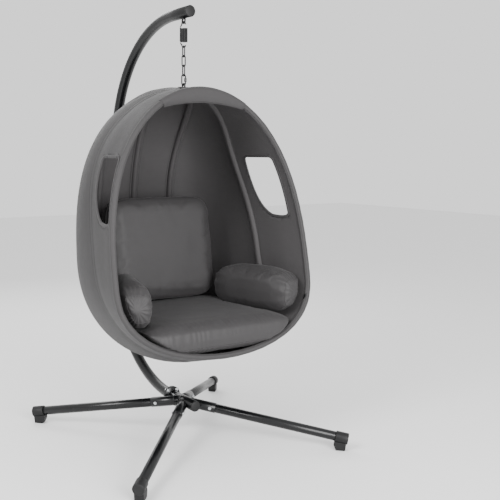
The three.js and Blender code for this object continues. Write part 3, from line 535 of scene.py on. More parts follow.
# ---- geometry node trees -------------------------------------------------------------------------------
class PathTree:
    """A node tree that turns a polyline into solid work, and calls that run it."""

    def __init__(self, name: str, inputs: Sequence[tuple[str, str]]) -> None:
        """Starts the tree with a geometry input, the inputs given and a material."""
        self.tree = bpy.data.node_groups.new(name, "GeometryNodeTree")
        face = self.tree.interface
        face.new_socket("Path", in_out="INPUT", socket_type="NodeSocketGeometry")
        for label, kind in inputs:
            face.new_socket(label, in_out="INPUT", socket_type=kind)
        face.new_socket("Finish", in_out="INPUT", socket_type="NodeSocketMaterial")
        face.new_socket("Work", in_out="OUTPUT", socket_type="NodeSocketGeometry")
        self.wiring = Wiring(self.tree)
        self.given = self.wiring.add("NodeGroupInput").outputs
        self.out = self.wiring.add("NodeGroupOutput")

    def end(self, geometry: bpy.types.NodeSocket) -> None:
        """Realizes, paints and puts out the geometry."""
        real = self.wiring.out("GeometryNodeRealizeInstances", {0: geometry})
        painted = self.wiring.out("GeometryNodeSetMaterial", {"Geometry": real, "Material": self.given["Finish"]})
        self.tree.links.new(painted, self.out.inputs[0])

    def run(self, name: str, points: Sequence[Sequence[Vector]], finish: bpy.types.Material, closed: bool = False,
            attributes: dict[str, Sequence[Vector]] | None = None, **values: object) -> bpy.types.Object:
        """Runs the tree over one or more polylines.

        Args:
            name: the piece's name.
            points: the polylines.
            finish: the material set on the work.
            closed: whether each polyline closes on itself.
            attributes: vectors kept on the points, by name.
            values: the tree's inputs by name, with underscores for spaces.

        Returns:
            A plain mesh object.
        """
        verts, edges = [], []
        for line in points:
            start = len(verts)
            verts += [tuple(p) for p in line]
            edges += [(start + k, start + k + 1) for k in range(len(line) - 1)]
            if closed:
                edges.append((start + len(line) - 1, start))
        mesh = bpy.data.meshes.new(name)
        mesh.from_pydata(verts, edges, [])
        for label, vectors in (attributes or {}).items():
            layer = mesh.attributes.new(label, "FLOAT_VECTOR", "POINT")
            for item, vector in zip(layer.data, vectors):
                item.vector = vector
        obj = linked(name, mesh)
        modifier = obj.modifiers.new("work", "NODES")
        modifier.node_group = self.tree
        wanted = {key.replace("_", " "): value for key, value in values.items()} | {"Finish": finish}
        for item in self.tree.interface.items_tree:
            if item.in_out == "INPUT" and item.name in wanted:
                modifier[item.identifier] = wanted[item.name]
        return bake(obj)


def bar_tree() -> PathTree:
    """Round bar along a path."""
    made = PathTree("round_bar", [("Radius", "NodeSocketFloat"), ("Sides", "NodeSocketInt")])
    curve = made.wiring.out("GeometryNodeMeshToCurve", {0: made.given["Path"]})
    circle = made.wiring.out("GeometryNodeCurvePrimitiveCircle",
                             {"Resolution": made.given["Sides"], "Radius": made.given["Radius"]})
    bar = made.wiring.out("GeometryNodeCurveToMesh", {"Curve": curve, "Profile Curve": circle, "Fill Caps": True})
    made.end(made.wiring.out("GeometryNodeSetShadeSmooth", {"Geometry": bar, "Shade Smooth": True}))
    return made


def stitch_tree() -> PathTree:
    """A row of short raised stitches along a path."""
    made = PathTree("stitch_row",
                    [("Pitch", "NodeSocketFloat"), ("Length", "NodeSocketFloat"), ("Thickness", "NodeSocketFloat")])
    curve = made.wiring.out("GeometryNodeMeshToCurve", {0: made.given["Path"]})
    even = made.wiring.add("GeometryNodeResampleCurve", {"Curve": curve, "Length": made.given["Pitch"]},
                           mode="LENGTH")
    tangent = made.wiring.out("GeometryNodeInputTangent")
    turn = made.wiring.out("FunctionNodeAlignRotationToVector", {"Vector": tangent}, axis="Z")
    thread_and_seam_shade = made.wiring.out("GeometryNodeMeshUVSphere", {"Segments": 6, "Rings": 4, "Radius": 0.5})
    thick, long = made.given["Thickness"], made.given["Length"]
    size = made.wiring.out("ShaderNodeCombineXYZ", {0: thick, 1: thick, 2: long})
    placed = {"Points": even.outputs[0], "Instance": thread_and_seam_shade, "Rotation": turn, "Scale": size}
    made.end(made.wiring.out("GeometryNodeInstanceOnPoints", placed))
    return made


def bolt_tree() -> PathTree:
    """Hex heads or nuts on washers, each on a point and facing along its kept direction."""
    made = PathTree("hex_fasteners",
                    [("Across", "NodeSocketFloat"), ("Height", "NodeSocketFloat"), ("Stub", "NodeSocketFloat")])
    add, given = made.wiring.out, made.given
    half = add("ShaderNodeMath", {0: given["Height"], 1: 0.5}, operation="MULTIPLY")
    lift = add("ShaderNodeCombineXYZ", {2: half})
    head = add("GeometryNodeMeshCylinder", {"Vertices": 6, "Radius": given["Across"], "Depth": given["Height"]})
    head = add("GeometryNodeTransform", {"Geometry": head, "Translation": lift})
    wide = add("ShaderNodeMath", {0: given["Across"], 1: 1.22}, operation="MULTIPLY")
    washer = add("GeometryNodeMeshCylinder", {"Vertices": 24, "Radius": wide, "Depth": 0.0012})
    narrow = add("ShaderNodeMath", {0: given["Across"], 1: 0.5}, operation="MULTIPLY")
    stub = add("GeometryNodeMeshCylinder", {"Vertices": 16, "Radius": narrow, "Depth": given["Stub"]})
    whole = made.wiring.add("GeometryNodeJoinGeometry")
    for part in (head, washer, stub):
        made.tree.links.new(part, whole.inputs[0])
    facing = add("GeometryNodeInputNamedAttribute", {"Name": "facing"}, data_type="FLOAT_VECTOR")
    turn = add("FunctionNodeAlignRotationToVector", {"Vector": facing}, axis="Z")
    spots = add("GeometryNodeMeshToPoints", {0: given["Path"]})
    made.end(add("GeometryNodeInstanceOnPoints", {"Points": spots, "Instance": whole.outputs[0], "Rotation": turn}))
    return made


class Trees:
    """The node trees of the chair."""

    def __init__(self) -> None:
        """Builds them."""
        self.bar, self.stitch, self.bolt = bar_tree(), stitch_tree(), bolt_tree()


# ---- the stand -----------------------------------------------------------------------------------------
@dataclass
class Leg:
    """One corner of the base: which way it runs and which sleeve row it sits in."""

    name: str
    turn: float
    along: float

    def matrix(self, slope: float, spread: float, height: float) -> Matrix:
        """The leg's frame: local X runs out along it."""
        start = Matrix.Translation(place(0, self.along * spread, height))
        return start @ Matrix.Rotation(math.radians(self.turn), 4, "Z") @ Matrix.Rotation(slope, 4, "Y")


@dataclass
class Stand:
    """The cross base and the C-shaped pole."""

    finishes: Finishes
    trees: Trees
    radius: float = 0.025
    hub_z: float = 0.168
    top_z: float = 1.922
    back_y: float = 0.665
    low_arc: float = 0.555
    high_arc: float = 0.58
    tip_y: float = -0.052
    joint_z: float = 0.96
    leg_radius: float = 0.021
    leg_end: float = 0.752
    leg_start: float = 0.01
    sleeve_end: float = 0.15
    sleeve_radius: float = 0.0232
    leg_neck_radius: float = 0.0188
    pole_neck_radius: float = 0.0216
    flange_y: float = 0.096
    foot_flange_y: float = 0.1043
    flange_radius: float = 0.041
    flange_thickness: float = 0.008
    flange_bolt_radius: float = 0.033
    foot_half_width: float = 0.02
    sole_ridges: int = 5
    slope: float = math.atan(0.119 / 0.76)
    bolt_radial: float = 0.126
    legs: list[Leg] = field(default_factory=lambda: [Leg("front_left", -135, -1), Leg("front_right", -45, -1),
                                                      Leg("rear_right", 45, 1), Leg("rear_left", 135, 1)])

    def tube(self, name: str, path: Sequence[Vector], radius: float, ease: float = 0.0012) -> bpy.types.Object:
        """A tube with eased ends along a path in one plane."""
        side = (path[-1] - path[0]).cross(path[len(path) // 2] - path[0])
        if side.length < 1e-6:
            side = (path[-1] - path[0]).orthogonal()
        side.normalize()
        framed = []
        for k, point in enumerate(path):
            tangent = (path[min(k + 1, len(path) - 1)] - path[max(k - 1, 0)]).normalized()
            framed.append((point, side.cross(tangent).normalized(), side))
        first, last = framed[0], framed[-1]
        inward = (path[1] - path[0]).normalized() * ease
        outward = (path[-2] - path[-1]).normalized() * ease
        framed = [first, (first[0] + inward, *first[1:]), *framed[1:-1], (last[0] + outward, *last[1:]), last]
        ends = {0, len(framed) - 1}

        def section(k: int) -> list[tuple[float, float]]:
            """The round section, a little smaller at the very ends."""
            r = radius - (ease if k in ends else 0)
            return [(r * math.cos(a), r * math.sin(a)) for a in angles(48)]

        return sweep(name, framed, section, False)

    def pole_path(self, upper: bool) -> list[Vector]:
        """The pole's centre line."""
        low_y, low_z = self.back_y - self.low_arc, self.hub_z + self.low_arc
        high_y, high_z = self.back_y - self.high_arc, self.top_z - self.high_arc
        points = []
        if upper:
            points.append(place(0, self.back_y, self.joint_z + 0.0003))
            points += [place(0, self.back_y, 1.1), place(0, self.back_y, high_z - 0.02)]
            for k in range(41):
                a = math.radians(90 * k / 40)
                points.append(place(0, high_y + self.high_arc * math.cos(a), high_z + self.high_arc * math.sin(a)))
            points.append(place(0, self.tip_y, self.top_z))
        else:
            points.append(place(0, 0.108, self.hub_z))
            for k in range(1, 41):
                a = math.radians(-90 + 90 * k / 40)
                points.append(place(0, low_y + self.low_arc * math.cos(a), low_z + self.low_arc * math.sin(a)))
            points += [place(0, self.back_y, 0.85), place(0, self.back_y, self.joint_z)]
        return points

    def disc(self, name: str, y: float) -> bpy.types.Object:
        """A flange disc with eased edges, its front face at y."""
        r, t = self.flange_radius, self.flange_thickness
        return lathe(name, [(0, 0), (r - 0.001, 0), (r, 0.001), (r, t - 0.001), (r - 0.001, t), (0, t)],
                     place(0, y, self.hub_z), Vector((0, 1, 0)), 56)

    def weld(self, name: str, centre: Vector, axis: Vector, radius: float) -> bpy.types.Object:
        """A rippled weld bead round a tube."""
        u = axis.orthogonal().normalized()
        w = axis.cross(u).normalized()
        path = []
        for a in angles(72):
            out = u * math.cos(a) + w * math.sin(a)
            path.append((centre + out * radius, out, axis.normalized()))

        def section(k: int) -> list[tuple[float, float]]:
            """The bead's section, swelling at each ripple."""
            r = 0.0023 + 0.0005 * math.sin(k * math.pi / 1.5)
            return [(r * math.cos(b), r * 1.2 * math.sin(b)) for b in angles(10)]

        return sweep(name, path, section, True)

    def build_hub(self) -> None:
        """Hub tube, sleeves, flange and weld beads as one welded piece."""
        line = [place(0, y, self.hub_z) for y in (-0.104, 0, 0.1)]
        parts = [self.tube("hub_tube", line, self.radius)]
        parts.append(self.disc("hub_flange", self.flange_y))
        parts.append(self.weld("flange_weld", place(0, 0.0955, self.hub_z), Vector((0, 1, 0)), self.radius))
        for leg in self.legs:
            matrix = leg.matrix(self.slope, self.leg_start, self.hub_z)
            along = matrix.to_3x3() @ Vector((1, 0, 0))
            parts.append(self.tube("sleeve", on_axis(matrix, 0.012, 0.08, self.sleeve_end), self.sleeve_radius))
            parts.append(self.weld("sleeve_weld", *on_axis(matrix, 0.036), along, self.sleeve_radius))
        dress(joined("welded_hub", parts), self.finishes.powder, Body.STAND, ["hub"])

    def build_legs(self) -> None:
        """Leg tubes with their necks, and the moulded feet."""
        for leg in self.legs:
            matrix = leg.matrix(self.slope, self.leg_start, self.hub_z)
            line = on_axis(matrix, self.sleeve_end + 0.0008, 0.4, self.leg_end)
            tube = self.tube("leg", line, self.leg_radius, 0.0018)
            line = on_axis(matrix, 0.062, 0.1, self.sleeve_end + 0.004)
            whole = joined(f"leg_tube_{leg.name}", [tube, self.tube("neck", line, self.leg_neck_radius)])
            dress(whole, self.finishes.powder, Body.STAND, [f"leg_{leg.name}"])
            foot = self.foot(leg, matrix)
            dress(foot, self.finishes.plastic, Body.STAND, [f"foot_{leg.name}"])

    def foot(self, leg: Leg, matrix: Matrix) -> bpy.types.Object:
        """A moulded foot: cap, block and ridged sole."""
        along = matrix.to_3x3() @ Vector((1, 0, 0))
        start = self.leg_end - 0.05
        cap = lathe("cap",
                    [(0.0212, 0), (0.0244, 0), (0.0254, 0.0012), (0.0254, 0.052), (0.0246, 0.0545), (0.0225, 0.056),
                     (0, 0.0563)],
                    matrix @ Vector((start, 0, 0)), along, 48)
        turned = Matrix.Rotation(math.radians(leg.turn), 4, "Z")
        upright = Matrix.Translation(place(0, leg.along * self.leg_start, 0)) @ turned
        tip = (self.leg_end + 0.006) * math.cos(self.slope) - 0.012
        heel = tip - 0.042
        outline = [(heel, 0.003), (tip, 0.003), (tip + 0.004, 0.034), (heel - 0.006, 0.04), (heel - 0.01, 0.026)]
        half = self.foot_half_width
        blocks = [self.prism("block", outline, -half, half, upright, 0.0022)]
        for k in range(self.sole_ridges):
            y = -half + 0.008 * (k + 0.5)
            ridge = [(heel + 0.001, 0.0), (tip - 0.001, 0.0), (tip - 0.001, 0.004), (heel + 0.001, 0.004)]
            blocks.append(self.prism("ridge", ridge, y - 0.0022, y + 0.0022, upright, 0.0006))
        return joined(f"moulded_foot_{leg.name}", [cap, *blocks])

    def prism(self, name: str, outline: Sequence[tuple[float, float]], low: float, high: float, matrix: Matrix,
              ease: float) -> bpy.types.Object:
        """An outline in the leg's upright plane given a width and eased edges."""
        count = len(outline)
        verts = [matrix @ Vector((x, y, z)) for y in (low, high) for x, z in outline]
        faces = [list(range(count)), list(range(count, 2 * count))[::-1]]
        faces += [[k, (k + 1) % count, count + (k + 1) % count, count + k] for k in range(count)]
        block = tidy(mesh_object(name, verts, faces, False))
        bevel = block.modifiers.new("ease", "BEVEL")
        bevel.width, bevel.segments = ease, 3
        bake(block)
        eased = [len(p.vertices) == 4 and p.area < 1e-5 for p in block.data.polygons]
        block.data.polygons.foreach_set("use_smooth", eased)
        return block

    def build_pole(self) -> None:
        """Both pole tubes, the foot flange and the hanging eye."""
        lower = [self.tube("lower", self.pole_path(False), self.radius),
                 self.disc("foot_flange", self.foot_flange_y),
                 self.weld("foot_weld", place(0, 0.1135, self.hub_z), Vector((0, 1, 0)), self.radius)]
        dress(joined("lower_pole", lower), self.finishes.powder, Body.STAND, ["pole_lower"])
        ring = [place(0, POLE_EYE_RADIUS * math.cos(a), POLE_EYE_Z + POLE_EYE_RADIUS * math.sin(a))
                for a in angles(40)]
        eye = tidy(self.trees.bar.run("eye", [ring], self.finishes.powder, True, Radius=POLE_EYE_WIRE, Sides=16))
        bead = self.weld("eye_weld", place(0, 0, self.top_z - self.radius + 0.0005), Vector((0, 0, 1)), 0.007)
        line = [place(0, self.back_y, z) for z in (0.87, 0.93, 0.972)]
        neck = self.tube("neck", line, self.pole_neck_radius)
        upper = joined("upper_pole", [self.tube("upper", self.pole_path(True), self.radius), neck, eye, bead])
        dress(upper, self.finishes.powder, Body.STAND, ["pole_upper"])

    def build_plugs(self) -> None:
        """Domed plastic plugs in the open tube ends."""
        for name, y, z, r in (("hub", -0.1043, self.hub_z, 0.0248),
                              ("pole", self.tip_y - 0.0003, self.top_z, 0.0255)):
            dome = [(0, -0.014), (0.0215, -0.014), (0.0215, 0), (r, 0), (r, 0.0025), (r - 0.0008, 0.0042),
                    (r - 0.004, 0.0055), (0, 0.0058)]
            plug = lathe(f"{name}_plug", dome, place(0, y, z), Vector((0, -1, 0)), 48)
            dress(plug, self.finishes.plastic, Body.STAND, [f"{name}_end_plug"])

    def build_fasteners(self) -> None:
        """Every bolt head and nut of the stand, in three sets."""
        spots, facings, nodes = [], [], []
        for leg in self.legs:
            matrix = leg.matrix(self.slope, self.leg_start, self.hub_z)
            front = math.copysign(1, leg.turn - 90) if leg.along > 0 else math.copysign(1, leg.turn + 90)
            for sign in (1, -1):
                spots.append(matrix @ Vector((self.bolt_radial, sign * front * 0.0236, 0)))
                facings.append(matrix.to_3x3() @ Vector((0, sign * front, 0)))
            nodes += [f"leg_{leg.name}_bolt", f"leg_{leg.name}_nut"]
        for sign in (1, -1):
            spots.append(place(sign * 0.0255, self.back_y, 0.915))
            facings.append(Vector((sign, 0, 0)))
        nodes += ["pole_joint_bolt", "pole_joint_nut"]
        run = self.trees.bolt.run
        small = run("cross_bolts", [spots], self.finishes.zinc, attributes={"facing": facings},
                    Across=0.006, Height=0.0046, Stub=0.013)
        dress(self.eased(small), self.finishes.zinc, Body.STAND, nodes)
        d = self.flange_bolt_radius / math.sqrt(2)
        spots, facings = [], []
        for x, z in ((-d, d), (d, d), (d, -d), (-d, -d)):
            spots += [place(x, 0.0957, self.hub_z + z), place(x, 0.1126, self.hub_z + z)]
            facings += [Vector((0, -1, 0)), Vector((0, 1, 0))]
        large = run("flange_bolts", [spots], self.finishes.zinc, attributes={"facing": facings},
                    Across=0.0075, Height=0.006, Stub=0.017)
        nodes = [f"flange_{k}_{what}" for k in range(1, 5) for what in ("bolt", "nut")]
        dress(self.eased(large), self.finishes.zinc, Body.STAND, nodes)

    @staticmethod
    def eased(obj: bpy.types.Object) -> bpy.types.Object:
        """A fastener set with its sharp edges eased."""
        bevel = obj.modifiers.new("ease", "BEVEL")
        bevel.width, bevel.segments, bevel.limit_method = 0.0004, 2, "ANGLE"
        return bake(obj)

    def build(self) -> None:
        """Builds the whole stand."""
        self.build_hub()
        self.build_legs()
        self.build_pole()
        self.build_plugs()
        self.build_fasteners()


# ---- spring and chain ----------------------------------------------------------------------------------
@dataclass
class Suspension:
    """The hooks, coil, chain links and screw-gated link."""

    finishes: Finishes
    trees: Trees
    wire: float = 0.00275
    coil_radius: float = 0.0156
    coil_top: float = 1.859
    coil_bottom: float = 1.793
    turns: int = 12
    hook_radius: float = 0.0095
    hook_clearance: float = 0.00305
    coil_wire: float = 0.00255
    coil_steps: int = 28
    link_half: float = 0.0082
    link_wire: float = 0.0029
    quick_half: float = 0.0096
    quick_wire: float = 0.0031
    gate_radius: float = 0.0061
    gate_height: float = 0.017

    def wirework(self, name: str, path: Sequence[Vector], radius: float, closed: bool,
                 sides: int = 14) -> bpy.types.Object:
        """Round wire along a path."""
        return tidy(self.trees.bar.run(name, [path], self.finishes.chain, closed, Radius=radius, Sides=sides))

    def hook(self, coil_z: float, loop_z: float, up: int) -> list[Vector]:
        """A hook's path from the coil's rim to its open end."""
        points = [place(-self.coil_radius * share, 0, coil_z + up * rise)
                  for share, rise in ((1, 0.0012), (0.93, 0.0045), (0.8, 0.0068))]
        middle = loop_z - up * self.hook_radius
        for k in range(25):
            a = math.radians(190 - 200 * k / 24)
            z = middle + up * self.hook_radius * math.sin(a)
            points.append(place(self.hook_radius * math.cos(a), 0, z))
        return smoothed(points, 4)

    def oval(self, inner: float, half: float, wire: float, centre_z: float, in_yz: bool) -> list[Vector]:
        """The centre line of a straight-sided oval link."""
        straight = inner / 2 + wire - half
        points = []
        for a in angles(64, 0.5):
            across, up = half * math.cos(a), half * math.sin(a) + math.copysign(straight, math.sin(a))
            points.append(place(0, across, centre_z + up) if in_yz else place(across, 0, centre_z + up))
        return points

    def build(self) -> None:
        """Builds every piece from the pole's eye down to the egg's."""
        seat = POLE_EYE_Z - POLE_EYE_RADIUS + POLE_EYE_WIRE
        for name, coil_z, loop_z, up, body in (
                ("upper", self.coil_top, seat + self.hook_clearance, 1, Body.SPRING_TOP),
                ("lower", self.coil_bottom, CHAIN_TOP - self.hook_clearance, -1, Body.SPRING_BOTTOM)):
            bent = self.wirework(f"{name}_hook", self.hook(coil_z, loop_z, up), self.wire, False)
            dress(bent, self.finishes.chain, body, [f"spring_hook_{name}"])
        height = self.coil_top - self.coil_bottom - 2 * self.wire
        helix, steps = [], self.turns * self.coil_steps
        for k in range(steps + 1):
            a = 2 * math.pi * k / self.coil_steps + math.pi
            z = self.coil_bottom + self.wire + height * k / steps
            helix.append(place(self.coil_radius * math.cos(a), self.coil_radius * math.sin(a), z))
        coil = self.wirework("coil", helix, self.coil_wire, False, 10)
        coil.data.materials.clear()
        coil.data.materials.append(self.finishes.chain)
        metre_uv(coil)
        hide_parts("spring_coil")
        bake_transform(coil)
        for index, body in enumerate((Body.LINK_1, Body.LINK_2, Body.LINK_3)):
            centre = CHAIN_TOP - CHAIN_PITCH * (index + 0.5)
            path = self.oval(CHAIN_PITCH + 0.0003, self.link_half, self.link_wire, centre, index % 2 == 0)
            link = self.wirework(f"link_{index + 1}_ring", path, self.link_wire, True)
            dress(link, self.finishes.chain, body, [f"chain_link_{index + 1}"])
        centre = CHAIN_TOP - CHAIN_LINKS * CHAIN_PITCH - QUICK_INNER / 2 + 0.00015
        path = self.oval(QUICK_INNER, self.quick_half, self.quick_wire, centre, False)
        loop = self.wirework("quick_ring", path, self.quick_wire, True)
        dress(loop, self.finishes.chain, Body.QUICK, ["quick_link"])
        r, h = self.gate_radius, self.gate_height
        sleeve = lathe("gate",
                       [(0.0034, 0), (r - 0.0008, 0), (r, 0.0008), (r, h - 0.0008), (r - 0.0008, h), (0.0034, h),
                        (0.0034, 0)],
                       place(self.quick_half, 0, centre - h / 2), Vector((0, 0, 1)), 6)
        sleeve.data.polygons.foreach_set("use_smooth", [False] * len(sleeve.data.polygons))
        sleeve.name = "gate_sleeve"
        dress(sleeve, self.finishes.chain, Body.QUICK, ["quick_link_nut"])


def smoothed(points: Sequence[Vector], cuts: int) -> list[Vector]:
    """Catmull-Rom points through the ones given."""
    out = []
    for k in range(len(points) - 1):
        a, b, c, d = points[max(k - 1, 0)], points[k], points[k + 1], points[min(k + 2, len(points) - 1)]
        for j in range(cuts):
            t = j / cuts
            out.append(0.5 * ((2 * b) + (c - a) * t + (2 * a - 5 * b + 4 * c - d) * t * t
                              + (3 * b - a - 3 * c + d) * t ** 3))
    out.append(points[-1].copy())
    return out


# ---- the egg's skin ------------------------------------------------------------------------------------
@dataclass
class Skin:
    """The egg's surface: a level angle from keel to crown, and t from the front ring to the back."""

    half_width: float = 0.487
    wide_z: float = 0.784
    ring_top: float = 1.578
    ring_bottom: float = 0.461
    mid_z: float = 0.95
    mid_y: float = -0.252
    lean: float = 0.183
    bow: float = -0.05
    back_wide: float = 0.847
    back_top: float = 1.608
    back_bottom: float = 0.326
    back_y: float = 0.498
    crown_y: float = 0.141
    keel_y: float = 0.205

    def ring(self, level: float, inset: float = 0.0) -> Vector:
        """The front ring's centre line at a level."""
        s = abs(math.sin(level))
        if level >= 0:
            z = self.wide_z + (self.ring_top - inset - self.wide_z) * s ** (2 / 2.5)
        else:
            z = self.wide_z - (self.wide_z - self.ring_bottom - inset) * s ** (2 / 2.6)
        return Vector(((self.half_width - inset) * math.cos(level), self.plane_y(z), z))

    def plane_y(self, z: float) -> float:
        """Where the ring's leaning plane is at a height."""
        return self.mid_y + self.lean * (z - self.mid_z) + self.bow * (z - self.mid_z) ** 2

    def back(self, level: float, inset: float = 0.0) -> Vector:
        """The middle of the back at a level."""
        s = abs(math.sin(level))
        if level >= 0:
            z = self.back_wide + (self.back_top - inset - self.back_wide) * s ** (2 / 2.6)
        else:
            z = self.back_wide - (self.back_wide - self.back_bottom - inset) * s ** (2 / 2.25)
        end = self.crown_y if level >= 0 else self.keel_y
        return Vector((0, end + (self.back_y - inset - end) * math.cos(level), z))

    @staticmethod
    def share(t: float) -> float:
        """Width of a section as a share of the ring's, at t."""
        u = min(max(t, 0.0), 1.0)
        return (1 - u ** 3.4) ** (1 / 3.2) * (1 - 0.36 * u * (1 - u))

    def at(self, level: float, t: float, side: int = 1, inset: float = 0.0) -> Vector:
        """A point of the skin in the shared frame."""
        ring, back = self.ring(level, inset), self.back(level, inset)
        rise = 1 - max(1 - t, 0.0) ** 1.7
        y, z = ring.y + (back.y - ring.y) * t, ring.z + (back.z - ring.z) * rise
        return place(side * ring.x * self.share(t), y, z)

    def place_of(self, share: float) -> float:
        """The place t whose width share is the one given."""
        low, high = 0.0, 1.0
        for _ in range(40):
            middle = (low + high) / 2
            low, high = (middle, high) if self.share(middle) > share else (low, middle)
        return low

    def side_x(self, y: float, z: float, inset: float = 0.0) -> float:
        """The skin's half-width at a y and z."""
        low, high = -HALF_PI, HALF_PI
        x = 0.0
        for _ in range(40):
            level = (low + high) / 2
            ring, back = self.ring(level, inset), self.back(level, inset)
            t = (y - ring.y) / (back.y - ring.y)
            point = self.at(level, t, 1, inset)
            x = point.x
            low, high = (low, level) if point.z > z else (level, high)
        return x

    def even_places(self, count: int) -> list[float]:
        """Places from ring to back, evenly spaced along the widest section."""
        fine = 3000
        line = [Vector((self.half_width * self.share(k / fine), (self.back_y - self.mid_y) * k / fine))
                for k in range(fine + 1)]
        length = lengths(line)
        out, k = [], 0
        for i in range(count + 1):
            while k < fine and length[k] < length[-1] * i / count:
                k += 1
            out.append(k / fine)
        return out


@dataclass
class Ribs:
    """The courses of the steel ribs over the skin."""

    skin: Skin
    inset: float = 0.015

    @staticmethod
    def _ease(s: float) -> float:
        """A smooth step from 0 to 1."""
        u = min(max(s, 0.0), 1.0)
        return u * u * (3 - 2 * u)

    def side_t(self, level: float) -> float:
        """The side rib's place at a level."""
        course = [(-90, 0.4), (-40, 0.31), (0, 0.39), (32, 0.52), (62, 0.48), (90, 0.52)]
        points = smoothed([Vector((a, t, 0)) for a, t in course], 24)
        degrees = math.degrees(level)
        for a, b in zip(points, points[1:]):
            if b.x >= degrees:
                return a.y + (b.y - a.y) * (degrees - a.x) / max(b.x - a.x, 1e-9)
        return points[-1].y

    def back_t(self, level: float) -> float:
        """The back rib's place at a level."""
        return self.skin.place_of(0.43 + 0.45 * self._ease((level - math.radians(13)) / math.radians(77)))

    def course(self, which: str, side: int, low: float = -88, high: float = 86,
               count: int = 90) -> list[tuple[float, float, int]]:
        """Level, t and side along one rib from the top down."""
        find = {"side": self.side_t, "back": self.back_t, "spine": lambda _: 1.0}[which]
        levels = [math.radians(high + (low - high) * k / count) for k in range(count + 1)]
        return [(level, find(level), side) for level in levels]

    def all(self) -> list[tuple[str, list[tuple[float, float, int]]]]:
        """Every rib's name and course."""
        made = [("spine_rib", self.course("spine", 1))]
        for name, side in (("left", -1), ("right", 1)):
            made += [(f"side_rib_{name}", self.course("side", side)),
                     (f"back_rib_{name}", self.course("back", side))]
        return made


@dataclass
class Window:
    """The outline of a side window in the y-z plane."""

    skin: Skin
    top: float = 1.296
    foot: float = 1.014
    gap: float = 0.056
    rear: float = 0.054
    corner: float = 0.022

    def outline(self, offset: float = 0.0, count: int = 120) -> list[tuple[float, float]]:
        """Evenly spaced (y, z) points round the window, drawn inwards by an offset."""
        top, foot, rear, c = self.top - offset, self.foot + offset, self.rear - offset, self.corner

        def front(z: float) -> float:
            """The front edge at a height."""
            return self.skin.plane_y(z) + self.gap + offset

        def bezier(points: Sequence[tuple[float, float]], steps: int) -> list[Vector]:
            """Points along a Bezier curve."""
            out = []
            for k in range(steps):
                row = [Vector(p) for p in points]
                while len(row) > 1:
                    row = [a.lerp(b, k / steps) for a, b in zip(row, row[1:])]
                out.append(row[0])
            return out

        start = (front(foot + c), foot + c)
        line = bezier([start, (front(top - c), top - c)], 20)
        line += bezier([(front(top - c), top - c), (front(top), top), (front(top) + c, top)], 10)
        line += bezier([(front(top) + c, top), (rear - c, top)], 16)
        line += bezier([(rear - c, top), (rear, top), (rear + 0.002, top - c)], 10)
        line += bezier([(rear + 0.002, top - c), (rear + 0.008, top - 0.11), (rear - 0.03, foot + 0.04),
                        (rear - 0.13, foot + 0.006)], 40)
        line += bezier([(rear - 0.13, foot + 0.006), (front(foot) + 0.006, foot - 0.006), start], 14)
        line.append(line[0].copy())
        return [(p.x, p.y) for p in evenly(line, count)]


def inside(outline: Sequence[tuple[float, float]], y: float, z: float) -> bool:
    """Whether a point is inside an outline."""
    hit = False
    for (y1, z1), (y2, z2) in zip(outline, [*outline[1:], outline[0]]):
        if (z1 > z) != (z2 > z) and y < (y2 - y1) * (z - z1) / (z2 - z1) + y1:
            hit = not hit
    return hit


